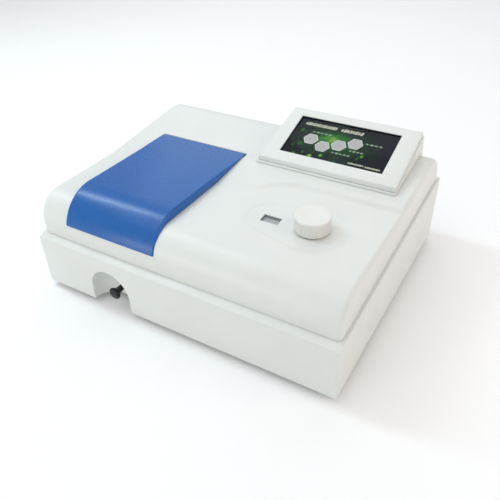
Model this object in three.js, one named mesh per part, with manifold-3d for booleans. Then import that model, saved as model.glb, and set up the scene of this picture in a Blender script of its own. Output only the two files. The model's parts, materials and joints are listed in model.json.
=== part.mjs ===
// A single-beam visible spectrophotometer with a hinged sample lid, a four-cell changer on a pull rod,
// a wavelength knob that turns a scale dial and the diffraction grating, and a tilted touch-screen head.
// Millimetres. X runs to the operator's right, Y to the back, Z up. The origin is on the bench, under
// the middle of the instrument.
import * as THREE from "three";
import { mergeVertices } from "three/addons/utils/BufferGeometryUtils.js";
import Module from "manifold-3d";

const wasm = await Module();
wasm.setup();

// ---------------------------------------------------------------- driving dimensions

const GAP = 0.3; // between two pieces that rest on each other
const SLIDE = 0.5; // between pieces that move past each other
const rad = THREE.MathUtils.degToRad;

const base = { width: 460, depth: 380, wall: 3, floorZ: 8, frontZ: 90, backZ: 114 };
// The shelf that the cover stands on, with its fall towards the front edge and its inner lip.
const ledge = { front: 10, side: 4, back: 4, fall: 4.5, lip: 5 };
const foot = { radius: 13, inset: 38, collar: 2.4, bolt: 3.2 };
const cover = { wall: 3, deckZ: 147, nose: 38, rampY: -30, rampAngle: rad(5.6), fillet: 120, rear: 50 };
const knobFloor = { x: 92.5, y: -63.6, radius: 81, back: 16.5 }; // level floor let into the ramp
const lid = {
  middle: -103.5, width: 151, wall: 2.5, nose: 58, frontProud: 3.1, frontZ: 117, topZ: 159.5, rearTopZ: 156,
};
const hinge = {
  y: 47.5, barrel: 4, lug: 1.9, lugWidth: 3, lugInset: 5, pin: 0.8, pinLength: 15,
  clearance: 0.7, trough: 2.4,
};
const opening = { sideMargin: 11, front: -158, back: 14 }; // the cover's hole over the sample well
const well = { wall: 3, floorZ: 14, front: -150, back: 22, sideClear: 8 };
const beam = { y: -62, z: 80, port: 7 };
const cells = { count: 4, pitch: 18, size: 12.6, depth: 26, wall: 3.2, floorZ: 66, window: 4 };
const rod = { z: 31, radius: 3 };
const pull = { neck: 4.3, flare: 9, length: 22, bore: 12 };
const rail = { radius: 2.5, spacing: 60, z: 24 };
const niche = { leftOfRod: 5.5, halfWidth: 33, depth: 28, springZ: 32, topZ: 66, wall: 3 };
const knob = { x: 137.5, y: -71, radius: 23, height: 20.5, flutes: 60, fluteDepth: 0.7, lift: 1.5 };
const shaft = { radius: 3, bush: 6 };
const recess = { depth: 1.2, knobRadius: 48, windowX: 80, windowRadius: 34 };
const scaleWindow = { x: 81.5, y: -74.5, length: 25, width: 15.5, lens: 1.5 };
const dial = { radius: 72, thick: 1.5, drop: 4.5 };
const gear = { module: 1, pinion: 18, sector: 144, sectorTeeth: 24, backlash: 0.3, thick: 4, z: 122 };
const mono = { fromWell: 14, right: 190, front: -140, back: 56, floorZ: 45, topZ: 115, wall: 4, leg: 9 };
const head = {
  left: -5, right: 205, front: 38, back: 158.5, footZ: 151,
  draft: Math.tan(rad(9)), rightDraft: Math.tan(rad(1)),
};
const face = { frontY: 40, frontZ: 164, angle: rad(17.65), slab: 6.5, step: 1.5 };
const screen = { width: 154, height: 79, fromFront: 20.5, centreX: 100.5, glass: 1.6, margin: 5, sink: 2 };
const rear = {
  recess: 7, left: -213, right: 208, bottom: 20, top: 92,
  z: 52, fanLift: 8, inlet: -186, toggle: -146, fuse: -112, serial: -62, usb: -18, fan: 62, sink: 158,
};
const inlet = { width: 28, height: 21, depth: 17, flange: 3, pinLength: 11 };
const toggle = { width: 14, height: 22, depth: 14, flange: 2, angle: rad(10) };
const fan = { size: 60, depth: 15, bore: 27.5, hub: 12, blades: 7, tip: 26.5 };
const guard = { radius: 30, pitch: 6.5, wire: 1.8, rings: 4 };
const sink = { width: 84, height: 64, plate: 4, fins: 12, fin: 2.4 };
const lamp = { x: 158, y: 112, housing: 66, height: 64, wall: 2, bulb: 6, window: 12 };
const vent = { count: 5, width: 4, length: 60, roofLength: 48, pitch: 11, roofPitch: 10 };
const screw = { left: -200, right: 205, down: 11, radius: 2, head: 3.8, headLength: 2.2, boss: 6, reach: 36 };
const lug = { halfWidth: 8, thick: 5, below: 7, above: 4, height: 8 }; // the cover's lugs for its rear screws
const serial = { height: 9.5, width: 18, wall: 0.8, proud: 5.5 };
const usb = { width: 12, height: 11, wall: 0.8 };
const fuse = { radius: 5.8, flange: 8.5, cap: 5.5 };
const board = { thick: 1.6, standoff: 6, pillar: 3 };

const halfWidth = base.width / 2;
const halfDepth = base.depth / 2;
const coverHalf = halfWidth - ledge.side;
const coverFront = -halfDepth + ledge.front;
const coverBack = halfDepth - ledge.back;
const lidLeft = lid.middle - lid.width / 2;
const lidRight = lid.middle + lid.width / 2;
const rodX = lid.middle;
const wellLeft = lidLeft + opening.sideMargin + well.sideClear;
const wellRight = lidRight - opening.sideMargin - well.sideClear;
const sectorX = knob.x - (gear.module * (gear.pinion + gear.sector)) / 2;
const monoLeft = wellRight + well.wall + mono.fromWell;
const panelY = halfDepth - rear.recess; // outer face of the recessed connector panel
const panelZ = rear.z + rear.fanLift; // height of the fan's and heat sink's centres

const floorTop = base.floorZ + base.wall;

// Height of the sloping shelf between the two shells.
const ledgeZ = (y) => base.frontZ + ((base.backZ - base.frontZ) * (y + halfDepth)) / base.depth;

// ---------------------------------------------------------------- solids

// A closed three.js geometry as a manifold-3d solid.
function solid(geometry) {
  const bare = new THREE.BufferGeometry().setAttribute("position", geometry.getAttribute("position"));
  if (geometry.index) bare.setIndex(geometry.index);
  const merged = mergeVertices(bare.index ? bare.toNonIndexed() : bare, 1e-4);
  const index = [];
  const all = merged.index.array;
  for (let i = 0; i < all.length; i += 3) {
    const [a, b, c] = [all[i], all[i + 1], all[i + 2]];
    if (a !== b && b !== c && c !== a) index.push(a, b, c);
  }
  const vertProperties = new Float32Array(merged.attributes.position.array);
  return new wasm.Manifold(new wasm.Mesh({ numProp: 3, vertProperties, triVerts: new Uint32Array(index) }));
}

// The three.js geometry of a manifold-3d solid.
function geometryOf(body) {
  const mesh = body.getMesh();
  return new THREE.BufferGeometry()
    .setAttribute("position", new THREE.BufferAttribute(new Float32Array(mesh.vertProperties), 3))
    .setIndex(new THREE.BufferAttribute(new Uint32Array(mesh.triVerts), 1));
}

function block(x0, x1, y0, y1, z0, z1) {
  const geometry = new THREE.BoxGeometry(x1 - x0, y1 - y0, z1 - z0);
  return solid(geometry.translate((x0 + x1) / 2, (y0 + y1) / 2, (z0 + z1) / 2));
}

const [X, Y, Z] = [[1, 0, 0], [0, 1, 0], [0, 0, 1]].map((p) => new THREE.Vector3(...p));
const AXES = {
  x: new THREE.Matrix4().makeBasis(Y, Z, X),
  y: new THREE.Matrix4().makeBasis(Z, X, Y),
  z: new THREE.Matrix4(),
};

// A bar of constant section along an axis. Section points are (y, z) for x, (z, x) for y and (x, y) for z.
function bar(axis, points, from, to) {
  const outline = new THREE.Shape(points.map(([a, b]) => new THREE.Vector2(a, b)));
  const geometry = new THREE.ExtrudeGeometry(outline, { depth: to - from, bevelEnabled: false });
  return solid(geometry.translate(0, 0, from).applyMatrix4(AXES[axis]));
}

// A round bar or cone along an axis, centred on (a, b) in that axis's section plane.
function round(axis, a, b, from, to, radius, endRadius = radius, sides = 24) {
  const geometry = new THREE.CylinderGeometry(endRadius, radius, to - from, sides).rotateX(Math.PI / 2);
  return solid(geometry.translate(a, b, (from + to) / 2).applyMatrix4(AXES[axis]));
}

// A turned piece: points are (radius, distance along the axis), from the axis and back to it.
function turned(axis, a, b, points, sides = 24) {
  const profile = points.map(([r, h]) => new THREE.Vector2(r, h));
  const geometry = new THREE.LatheGeometry(profile, sides).rotateX(Math.PI / 2);
  return solid(geometry.translate(a, b, 0).applyMatrix4(AXES[axis]));
}

const join = (...bodies) => bodies.reduce((a, b) => a.add(b));
const cut = (body, ...tools) => tools.reduce((a, b) => a.subtract(b), body);

// Points on an arc, from one angle to another, both included.
function arc(cx, cy, radius, from, to, steps) {
  return Array.from({ length: steps + 1 }, (_, i) => {
    const angle = from + ((to - from) * i) / steps;
    return [cx + radius * Math.cos(angle), cy + radius * Math.sin(angle)];
  });
}

const roundedRect = (x0, x1, y0, y1, r) => [
  ...arc(x1 - r, y0 + r, r, -Math.PI / 2, 0, 4),
  ...arc(x1 - r, y1 - r, r, 0, Math.PI / 2, 4),
  ...arc(x0 + r, y1 - r, r, Math.PI / 2, Math.PI, 4),
  ...arc(x0 + r, y0 + r, r, Math.PI, 1.5 * Math.PI, 4),
];

// ---------------------------------------------------------------- the cover's side profile

const ramp = {
  sin: Math.sin(cover.rampAngle),
  cos: Math.cos(cover.rampAngle),
  tan: Math.tan(cover.rampAngle),
};
const noseCentre = [coverFront + cover.nose, cover.deckZ - cover.nose];
const filletCentre = [cover.rampY - cover.fillet * Math.tan(cover.rampAngle / 2), cover.deckZ + cover.fillet];
const rearCentreY = coverBack - cover.rear;
const rampTopY = rearCentreY - cover.rear * ramp.sin;
const rearCentre = [rearCentreY, cover.deckZ + (rampTopY - cover.rampY) * ramp.tan - cover.rear * ramp.cos];

// Height of the ramp behind the deck.
const rampZ = (y) => cover.deckZ + (y - cover.rampY) * ramp.tan;

// The cover's outline seen from its right side, moved inwards by inset, down to the ledge plus lift.
function coverOutline(inset, lift) {
  const [front, back] = [coverFront + inset, coverBack - inset];
  const rearRadius = cover.rear - inset;
  const footAngle = Math.asin(Math.max(-1, (ledgeZ(back) + lift - rearCentre[1]) / rearRadius));
  const standing = ledgeZ(back) + lift > rearCentre[1];
  return [
    [front, ledgeZ(front) + lift],
    ...(standing ? [] : [[back, ledgeZ(back) + lift]]),
    ...arc(...rearCentre, rearRadius, standing ? footAngle : 0, Math.PI / 2 + cover.rampAngle, 12),
    ...arc(...filletCentre, cover.fillet + inset, -Math.PI / 2 + cover.rampAngle, -Math.PI / 2, 3),
    ...arc(...noseCentre, cover.nose - inset, Math.PI / 2, Math.PI, 10),
  ];
}

// The space that the cover fills with its outside grown by a clearance, reaching well below the ledge.
const coverSpace = (clearance) =>
  bar("x", coverOutline(-clearance, -30), -coverHalf - clearance, coverHalf + clearance);

// ---------------------------------------------------------------- base and feet

// The scooped finger recess round the pull knob, grown by a wall.
function nicheSpace(grow) {
  const [w, d, h] = [niche.halfWidth + grow, niche.depth + grow, niche.topZ - niche.springZ + grow];
  const plan = arc(0, 0, 1, 0, 2 * Math.PI, 20).slice(0, 20);
  const upright = plan.map(([x, y]) => [rodX - niche.leftOfRod + x * w, -halfDepth + y * d]);
  const dome = new THREE.SphereGeometry(1, 20, 12).rotateX(Math.PI / 2).scale(w, d, h);
  return join(
    bar("z", upright, base.floorZ - 5 + 5 * Math.sign(grow), niche.springZ),
    solid(dome.translate(rodX - niche.leftOfRod, -halfDepth, niche.springZ)),
  );
}

const sideOutline = (inset, floorZ, drop) => [
  [-halfDepth + inset, floorZ],
  [halfDepth - inset, floorZ],
  [halfDepth - inset, ledgeZ(halfDepth - inset) - drop],
  [coverFront, ledgeZ(coverFront) - drop],
  [-halfDepth + inset, ledgeZ(-halfDepth + inset) - ledge.fall - drop],
];

const footPlaces = [
  ["front_left", -1, -1],
  ["front_right", 1, -1],
  ["back_left", -1, 1],
  ["back_right", 1, 1],
].map(([name, sx, sy]) => [name, sx * (halfWidth - foot.inset), sy * (halfDepth - foot.inset)]);

const screwPlaces = [
  ["left", screw.left],
  ["right", screw.right],
];
const hingeZ = lid.rearTopZ - hinge.barrel;
const hingeFront = hinge.y - hinge.barrel - hinge.clearance;
const hingeBack = hinge.y + hinge.barrel + hinge.clearance;
const screwZ = ledgeZ(halfDepth) - screw.down;
const screwTip = coverBack - screw.reach;
const screwSeat = halfDepth - screw.headLength - 2 * GAP;

function baseTray() {
  const inside = halfWidth - base.wall;
  const shell = cut(
    bar("x", sideOutline(0, base.floorZ, 0), -halfWidth, halfWidth),
    bar("x", sideOutline(base.wall, base.floorZ + base.wall, base.wall), -inside, inside),
    block(
      -coverHalf + ledge.lip, coverHalf - ledge.lip,
      coverFront + ledge.lip, coverBack - ledge.lip,
      base.frontZ - 10, base.backZ + 10,
    ),
  );
  const panel = block(
    rear.left - base.wall, rear.right + base.wall, panelY - base.wall, halfDepth - base.wall / 2,
    rear.bottom - base.wall, rear.top + base.wall,
  );
  const inFront = block(-halfWidth, 0, -halfDepth, 0, base.floorZ, base.frontZ);
  const scoop = nicheSpace(niche.wall).intersect(inFront);
  const bosses = screwPlaces.map(([, x]) =>
    round("y", screwZ, x, coverBack - ledge.lip, halfDepth - 1, screw.boss, screw.boss, 16));
  const holes = [
    nicheSpace(0),
    block(rear.left, rear.right, panelY, halfDepth + 1, rear.bottom, rear.top),
    round("y", rod.z, rodX, -halfDepth, well.front, pull.bore / 2 + GAP),
    ...screwPlaces.map(([, x]) => round("y", screwZ, x, screwTip, halfDepth + 1, screw.radius + GAP)),
    ...screwPlaces.map(([, x]) => round("y", screwZ, x, screwSeat, halfDepth + 1, screw.head + GAP)),
    ...footPlaces.map(([, x, y]) => round("z", x, y, 0, 20, foot.bolt + GAP, foot.bolt + GAP, 16)),
    ...panelHoles(),
    ...floorVents(),
  ];
  return cut(join(shell, panel, scoop, ...bosses), ...holes);
}

const panelHole = (x, width, height) =>
  block(x - width / 2, x + width / 2, panelY - 10, panelY + 1, rear.z - height / 2, rear.z + height / 2);

function panelHoles() {
  return [
    panelHole(rear.inlet, inlet.width + 2 * GAP, inlet.height + 2 * GAP),
    panelHole(rear.toggle, toggle.width + 2 * GAP, toggle.height + 2 * GAP),
    round("y", rear.z, rear.fuse, panelY - 10, panelY + 1, fuse.radius + 0.5),
    panelHole(rear.serial, serial.width + 2 * GAP, serial.height + 2 * GAP),
    panelHole(rear.usb, usb.width + 2 * GAP, usb.height + 2 * GAP),
    round("y", panelZ, rear.fan, panelY - 10, panelY + 1, fan.bore, fan.bore, 32),
    block(
      rear.sink - sink.width / 2 - GAP, rear.sink + sink.width / 2 + GAP, panelY - 10, panelY + 1,
      panelZ - sink.height / 2 - GAP, panelZ + sink.height / 2 + GAP,
    ),
  ];
}

// A row of slots over or under the lamp, where cooling air passes.
const ventRow = (length, pitch, z0, z1) =>
  Array.from({ length: vent.count }, (_, i) => {
    const y = lamp.y - 22 + i * pitch;
    return block(lamp.x - length / 2, lamp.x + length / 2, y, y + vent.width, z0, z1);
  });

const floorVents = () => ventRow(vent.length, vent.pitch, base.floorZ - 1, base.floorZ + 2 * base.wall);

// A rubber foot: a tapered puck with a stem that snaps through the floor.
const rubberFoot = (x, y) =>
  turned("z", x, y, [
    [0, 0], [foot.radius - 1.5, 0], [foot.radius, 1.5], [foot.radius - 1, base.floorZ - GAP],
    [foot.bolt, base.floorZ - GAP], [foot.bolt, floorTop + GAP],
    [foot.bolt + foot.collar, floorTop + GAP], [foot.bolt, floorTop + 4],
    [0, floorTop + 4],
  ], 20);

// ---------------------------------------------------------------- top cover

// The shallow egg-shaped recess that holds the knob and the scale window.
function recessOutline() {
  const gapX = knob.x - recess.windowX;
  const lean = Math.asin((recess.knobRadius - recess.windowRadius) / gapX);
  return [
    ...arc(knob.x, knob.y, recess.knobRadius, -Math.PI / 2 - lean, Math.PI / 2 + lean, 22),
    ...arc(recess.windowX, knob.y, recess.windowRadius, Math.PI / 2 + lean, 1.5 * Math.PI - lean, 12),
  ];
}

// The space above the level floor round the knob, grown by a wall.
function aboveKnobFloor(grow) {
  const [radius, back, right] = [knobFloor.radius + grow, knobFloor.back + grow, halfWidth];
  const from = Math.asin((back - knobFloor.y) / radius);
  const outline = [
    [right, knobFloor.y], [right, back],
    ...arc(knobFloor.x, knobFloor.y, radius, from, Math.PI, 16),
  ];
  return bar("z", outline, cover.deckZ - grow, cover.deckZ + cover.rear);
}

function topCover() {
  const outside = bar("x", coverOutline(0, GAP), -coverHalf, coverHalf);
  const hollow = bar("x", coverOutline(cover.wall, -30), -coverHalf + cover.wall, coverHalf - cover.wall);
  const shell = cut(outside, aboveKnobFloor(0), cut(hollow, aboveKnobFloor(cover.wall)));
  const [lugY, lugTop] = [coverBack - ledge.lip, base.backZ + lug.above + lug.height];
  const lugs = screwPlaces.flatMap(([, x]) => [
    block(x - lug.halfWidth, x + lug.halfWidth, lugY - lug.thick, lugY - GAP, screwZ - lug.below, lugTop),
    block(
      x - lug.halfWidth, x + lug.halfWidth, lugY - lug.thick, coverBack - cover.wall / 2,
      base.backZ + lug.above, lugTop,
    ),
  ]);
  const holes = [
    block(
      lidLeft + opening.sideMargin, lidRight - opening.sideMargin,
      opening.front, opening.back, base.frontZ + 10, 200,
    ),
    block(lidLeft - 0.8, lidRight + 0.8, hingeFront, hingeBack, hingeZ - 12, hingeZ + 20),
    bar("z", recessOutline(), cover.deckZ - recess.depth, cover.deckZ + 5),
    round("z", knob.x, knob.y, 130, 160, shaft.bush + GAP),
    block(
      scaleWindow.x - scaleWindow.length / 2, scaleWindow.x + scaleWindow.length / 2,
      scaleWindow.y - scaleWindow.width / 2, scaleWindow.y + scaleWindow.width / 2, 130, 160,
    ),
    round("z", screen.centreX, head.front + 55, 130, 190, 14),
    ...screwPlaces.map(([, x]) => round("y", screwZ, x, screwTip, coverBack + 2, screw.radius + GAP)),
  ];
  return cut(join(shell, ...lugs), ...holes);
}

const coverScrew = (x) =>
  turned("y", screwZ, x, [
    [0, coverBack - ledge.lip - 8], [screw.radius, coverBack - ledge.lip - 7],
    [screw.radius, screwSeat + GAP],
    [screw.head, screwSeat + GAP], [screw.head - 0.8, screwSeat + GAP + screw.headLength],
    [0, screwSeat + GAP + screw.headLength],
  ], 16);

// ---------------------------------------------------------------- sample lid and its hinge

const lidNose = [coverFront - lid.frontProud + lid.nose, lid.topZ - lid.nose];
const lidFall = Math.atan2(lid.topZ - lid.rearTopZ, hinge.y - lidNose[0]);

// The lid's outside seen from the right, moved inwards by inset, closed along a line well below it.
function lidOutline(inset) {
  const frontY = lidNose[0] - lid.nose + inset;
  return [
    [frontY, lid.frontZ - 20],
    [hinge.y, lid.frontZ - 20],
    ...arc(hinge.y, hingeZ, hinge.barrel - inset, inset ? 0 : -Math.PI / 2, Math.PI / 2 - lidFall, 8),
    ...arc(...lidNose, lid.nose - inset, Math.PI / 2 - lidFall, Math.PI, 12),
  ];
}

const lugPlaces = [
  [lidLeft + hinge.lugInset, 1],
  [lidRight - hinge.lugInset, -1],
].map(([x, inwards]) => (inwards > 0 ? [x, x + hinge.lugWidth] : [x - hinge.lugWidth, x]));

// A thin round bar on the hinge's axis.
const alongHinge = (from, to, radius) => round("x", hinge.y, hingeZ, from, to, radius, radius, 16);

function sampleLid() {
  const outside = bar("x", lidOutline(0), lidLeft, lidRight)
    .intersect(block(lidLeft, lidRight, -halfDepth, halfDepth, lid.frontZ, 200));
  const inside = bar("x", lidOutline(lid.wall), lidLeft + lid.wall, lidRight - lid.wall);
  const barrel = round("x", hinge.y, hingeZ, lidLeft, lidRight, hinge.barrel, hinge.barrel, 32);
  const slot = block(lidLeft - 5, lidRight + 5, hingeFront, hingeBack + 5, 100, 190);
  const shell = join(
    cut(outside, inside, coverSpace(0.4)),
    barrel,
    outside.intersect(slot).intersect(block(lidLeft, lidRight, 0, 100, hingeZ, 190)),
  );
  const notchTop = hingeZ + hinge.lug + hinge.clearance;
  const notches = lugPlaces.map(([x0, x1]) =>
    block(x0 - 0.6, x1 + 0.6, hingeFront - GAP, hingeBack + GAP, 130, notchTop));
  const bores = [
    alongHinge(lidLeft - 1, lidLeft + 2 + hinge.pinLength, hinge.pin + GAP),
    alongHinge(lidRight - 2 - hinge.pinLength, lidRight + 1, hinge.pin + GAP),
  ];
  return cut(shell, ...notches, ...bores);
}

// Foam strip inside the lid, which closes on the deck round the opening.
function lidSeal() {
  const space = bar("x", lidOutline(lid.wall + GAP), lidLeft, lidRight);
  const reach = { side: 3.5, front: -170, back: 21, strip: 5 };
  const ring = cut(
    block(lidLeft + reach.side, lidRight - reach.side, reach.front, reach.back, 110, 170),
    block(
      lidLeft + reach.side + reach.strip, lidRight - reach.side - reach.strip,
      reach.front + reach.strip, reach.back - reach.strip, 100, 180,
    ),
  );
  return cut(ring.intersect(space), coverSpace(0.5));
}

// Trough under the cover that the lid's rear barrel rolls in, with the two lugs that hold its pins.
function hingeChannel() {
  const floorZ = hingeZ - hinge.barrel - hinge.clearance;
  const trough = cut(
    block(
      lidLeft - 3, lidRight + 3, hingeFront - hinge.trough, hingeBack + hinge.trough,
      floorZ - hinge.trough, hingeZ - 2.3,
    ),
    block(lidLeft - 0.8, lidRight + 0.8, hingeFront, hingeBack, floorZ, hingeZ + 5),
  );
  const underCover = bar("x", coverOutline(cover.wall + GAP, -30), -coverHalf, coverHalf);
  const clear = coverSpace(0).subtract(underCover);
  const lugs = lugPlaces.map(([x0, x1]) =>
    join(
      block(x0, x1, hinge.y - hinge.lug, hinge.y + hinge.lug, floorZ - 1, hingeZ),
      round("x", hinge.y, hingeZ, x0, x1, hinge.lug, hinge.lug, 20),
    ));
  const bores = lugPlaces.map(([x0, x1]) => alongHinge(x0 - 1, x1 + 1, hinge.pin + GAP / 2));
  return cut(join(trough.subtract(clear), ...lugs), ...bores);
}

const hingePins = {
  left: () => alongHinge(lidLeft + 0.5, lidLeft + 0.5 + hinge.pinLength, hinge.pin),
  right: () => alongHinge(lidRight - 0.5 - hinge.pinLength, lidRight - 0.5, hinge.pin),
};

// ---------------------------------------------------------------- sample well and cell changer

const wellTop = cover.deckZ - cover.wall - 1;
const rackLength = cells.count * cells.pitch + cells.wall;
const rackFront = beam.y - cells.pitch / 2 - cells.wall / 2;

// A round bar on the left (-1) or right (1) rail's axis.
const alongRail = (side, from, to, radius) =>
  round("y", rail.z, rodX + (side * rail.spacing) / 2, from, to, radius);

function sampleWell() {
  const outside = cut(
    block(
      wellLeft - well.wall, wellRight + well.wall, well.front - well.wall, well.back + well.wall,
      well.floorZ, wellTop,
    ),
    block(wellLeft, wellRight, well.front, well.back, well.floorZ + well.wall, wellTop + 5),
  );
  const rails = [-1, 1].map((side) => alongRail(side, well.front - 1.5, well.back + 1.5, rail.radius + GAP));
  return cut(
    outside.intersect(bar("x", coverOutline(cover.wall + 1, -200), -coverHalf, coverHalf)),
    round("x", beam.y, beam.z, wellLeft - 10, wellRight + 10, beam.port),
    round("y", rod.z, rodX, well.front - 10, well.front + 10, rod.radius + SLIDE),
    ...rails,
  );
}

const carriageRail = (side) => alongRail(side, well.front - 1.2, well.back + 1.2, rail.radius);

// Sliding plate on the two rails, with an upright that the pull rod screws into and posts for the rack.
function cellCarriage() {
  const [front, back] = [rackFront, rackFront + rackLength];
  const halfSpan = rail.spacing / 2 + 7;
  const plate = block(rodX - halfSpan, rodX + halfSpan, front, back, rail.z - 5, rail.z + 5);
  const upright = block(rodX - 9, rodX + 9, front, front + 8, rail.z, cells.floorZ - 4 - GAP);
  const post = block(rodX - 9, rodX + 9, back - 8, back, rail.z, cells.floorZ - 4 - GAP);
  const bores = [-1, 1].map((side) => alongRail(side, front - 1, back + 1, rail.radius + 0.4));
  const socket = round("y", rod.z, rodX, front - 1, front + 6, rod.radius + GAP);
  return cut(join(plate, upright, post), ...bores, socket);
}

// Block with four square cells, a light window through each, and a finger tab at each end.
function cellRack() {
  const half = cells.size / 2 + cells.wall;
  const floorZ = cells.floorZ - 4;
  const topZ = cells.floorZ + cells.depth;
  const body = block(rodX - half, rodX + half, rackFront, rackFront + rackLength, floorZ, topZ);
  const holes = Array.from({ length: cells.count }, (_, i) => {
    const y = beam.y + i * cells.pitch;
    return [
      block(
        rodX - cells.size / 2, rodX + cells.size / 2, y - cells.size / 2, y + cells.size / 2,
        cells.floorZ, topZ + 5,
      ),
      block(
        rodX - half - 1, rodX + half + 1, y - cells.window / 2, y + cells.window / 2,
        beam.z - 8, beam.z + 8,
      ),
    ];
  });
  return cut(body, ...holes.flat());
}

const knobEnd = -halfDepth;
const pullRod = () =>
  round("y", rod.z, rodX, knobEnd + 6, rackFront + 5, rod.radius, rod.radius, 20);

// Trumpet-shaped knob on the pull rod's end.
const pullKnob = () =>
  cut(
    turned("y", rod.z, rodX, [
      [0, knobEnd], [pull.flare - 1.5, knobEnd], [pull.flare, knobEnd + 1.5], [pull.flare - 0.6, knobEnd + 4],
      [pull.neck + 1, knobEnd + 9], [pull.neck, knobEnd + 13], [pull.neck, knobEnd + pull.length - 0.6],
      [pull.neck - 0.6, knobEnd + pull.length], [0, knobEnd + pull.length],
    ]),
    round("y", rod.z, rodX, knobEnd + 5.5, knobEnd + pull.length + 1, rod.radius + GAP),
  );

// Flanged black bush that guides the rod through the back of the finger recess.
const rodBush = () => {
  const [start, end] = [-halfDepth + niche.depth - 2.2, well.front - well.wall - GAP];
  return cut(
    round("y", rod.z, rodX, start, end, pull.bore / 2),
    round("y", rod.z, rodX, start - 1, end + 1, rod.radius + SLIDE),
  );
};

// ---------------------------------------------------------------- wavelength drive

const knobZ = cover.deckZ - recess.depth + knob.lift;
const dialZ = cover.deckZ - cover.wall - dial.drop;
const shaftFoot = mono.topZ + 3;

// A round bar or cone on the knob's axis.
const onKnobAxis = (from, to, ...radiiAndSides) => round("z", knob.x, knob.y, from, to, ...radiiAndSides);

function wavelengthKnob() {
  const rim = Array.from({ length: knob.flutes * 2 }, (_, i) => {
    const radius = knob.radius - (i % 2 ? knob.fluteDepth : 0);
    const angle = (Math.PI * i) / knob.flutes;
    return [knob.x + radius * Math.cos(angle), knob.y + radius * Math.sin(angle)];
  });
  const skirt = bar("z", rim, knobZ, knobZ + knob.height - 2);
  const topZ = knobZ + knob.height;
  const crown = onKnobAxis(topZ - 2, topZ, knob.radius - knob.fluteDepth, knob.radius - 2.2, 40);
  return cut(join(skirt, crown), onKnobAxis(knobZ - 1, topZ - 4, shaft.radius + GAP));
}

const knobShaft = () => onKnobAxis(shaftFoot, knobZ + knob.height - 5, shaft.radius);

// Flanged bush that carries the knob's shaft in the deck.
const shaftBush = () => {
  const topZ = cover.deckZ - recess.depth;
  return cut(
    turned("z", knob.x, knob.y, [
      [0, topZ - 5.5], [shaft.bush - 0.5, topZ - 5.5], [shaft.bush - 0.5, topZ + GAP],
      [shaft.bush + 2, topZ + GAP], [shaft.bush + 2, topZ + 1.1], [0, topZ + 1.1],
    ]),
    onKnobAxis(topZ - 10, topZ + 5, shaft.radius + GAP),
  );
};

const wavelengthDial = () =>
  cut(
    join(
      onKnobAxis(dialZ - dial.thick, dialZ, dial.radius, dial.radius, 72),
      onKnobAxis(dialZ - 8, dialZ, 8),
    ),
    onKnobAxis(dialZ - 9, dialZ + 1, shaft.radius + GAP),
  );

const scaleLens = () => {
  const topZ = cover.deckZ - cover.wall - GAP;
  const [halfLength, halfBreadth] = [scaleWindow.length / 2 + 4, scaleWindow.width / 2 + 4];
  return block(
    scaleWindow.x - halfLength, scaleWindow.x + halfLength,
    scaleWindow.y - halfBreadth, scaleWindow.y + halfBreadth, topZ - scaleWindow.lens, topZ,
  );
};

// Points of some involute teeth, centred on angle 0 with a tooth or a gap there.
function teeth(count, whole, gapAtZero) {
  const pitchRadius = (gear.module * whole) / 2;
  const baseRadius = pitchRadius * Math.cos(rad(20));
  const involute = (r) => {
    const a = Math.acos(Math.min(1, baseRadius / r));
    return Math.tan(a) - a;
  };
  const tip = pitchRadius + 0.9 * gear.module;
  const root = pitchRadius - 1.25 * gear.module;
  const halfTooth = (Math.PI * gear.module - gear.backlash) / 4 / pitchRadius;
  const heights = [Math.max(baseRadius, root + 0.1), pitchRadius - 0.4, pitchRadius, pitchRadius + 0.5, tip];
  const step = (2 * Math.PI) / whole;
  const flank = heights.map((r) => [r, halfTooth + involute(pitchRadius) - involute(r)]);
  const points = [];
  for (let i = 0; i < count; i += 1) {
    const centre = (i - (count - 1) / 2) * step + (count % 2 === 0 && !gapAtZero ? step / 2 : 0);
    points.push([root, centre - flank[0][1]]);
    flank.forEach(([r, half]) => points.push([r, centre - half]));
    [...flank].reverse().forEach(([r, half]) => points.push([r, centre + half]));
    points.push([root, centre + flank[0][1]]);
  }
  return points.map(([r, angle]) => [r * Math.cos(angle), r * Math.sin(angle)]);
}

const shift = (points, x, y) => points.map(([a, b]) => [a + x, b + y]);

function drivePinion() {
  const rim = shift(teeth(gear.pinion, gear.pinion, false), knob.x, knob.y);
  const topZ = gear.z + gear.thick;
  return cut(
    join(bar("z", rim, gear.z - 1, topZ + 1), onKnobAxis(topZ, topZ + 4, 7)),
    onKnobAxis(gear.z - 2, topZ + 7, shaft.radius + GAP),
  );
}

function sectorGear() {
  const rim = teeth(gear.sectorTeeth, gear.sector, true);
  const innerRadius = (gear.module * gear.sector) / 2 - 9;
  const spread = (Math.PI * gear.sectorTeeth) / gear.sector;
  const band = [...rim, ...arc(0, 0, innerRadius, spread, -spread, 12)];
  const arm = [[0, -8], [innerRadius + 3, -14], [innerRadius + 3, 14], [0, 8]];
  return cut(
    join(
      bar("z", shift(band, sectorX, knob.y), gear.z, gear.z + gear.thick),
      bar("z", shift(arm, sectorX, knob.y), gear.z, gear.z + gear.thick),
      round("z", sectorX, knob.y, gear.z, gear.z + gear.thick + 3, 11),
    ),
    round("z", sectorX, knob.y, gear.z - 1, gear.z + gear.thick + 4, 4 + GAP),
    round("z", sectorX + 30, knob.y, gear.z - 1, gear.z + gear.thick + 1, 6),
  );
}

// Shaft that stands in the monochromator's floor and carries the grating's holder.
const gratingShaft = () =>
  join(
    round("z", sectorX, knob.y, mono.floorZ + mono.wall + GAP, gear.z + gear.thick + 2, 4),
    block(sectorX - 4, sectorX + 8, knob.y - 16, knob.y + 16, beam.z - 17, beam.z + 17),
  );

const grating = () =>
  block(sectorX - 10 - GAP, sectorX - 4 - GAP, knob.y - 15, knob.y + 15, beam.z - 15, beam.z + 15);

// ---------------------------------------------------------------- monochromator, lamp and detector

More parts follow.
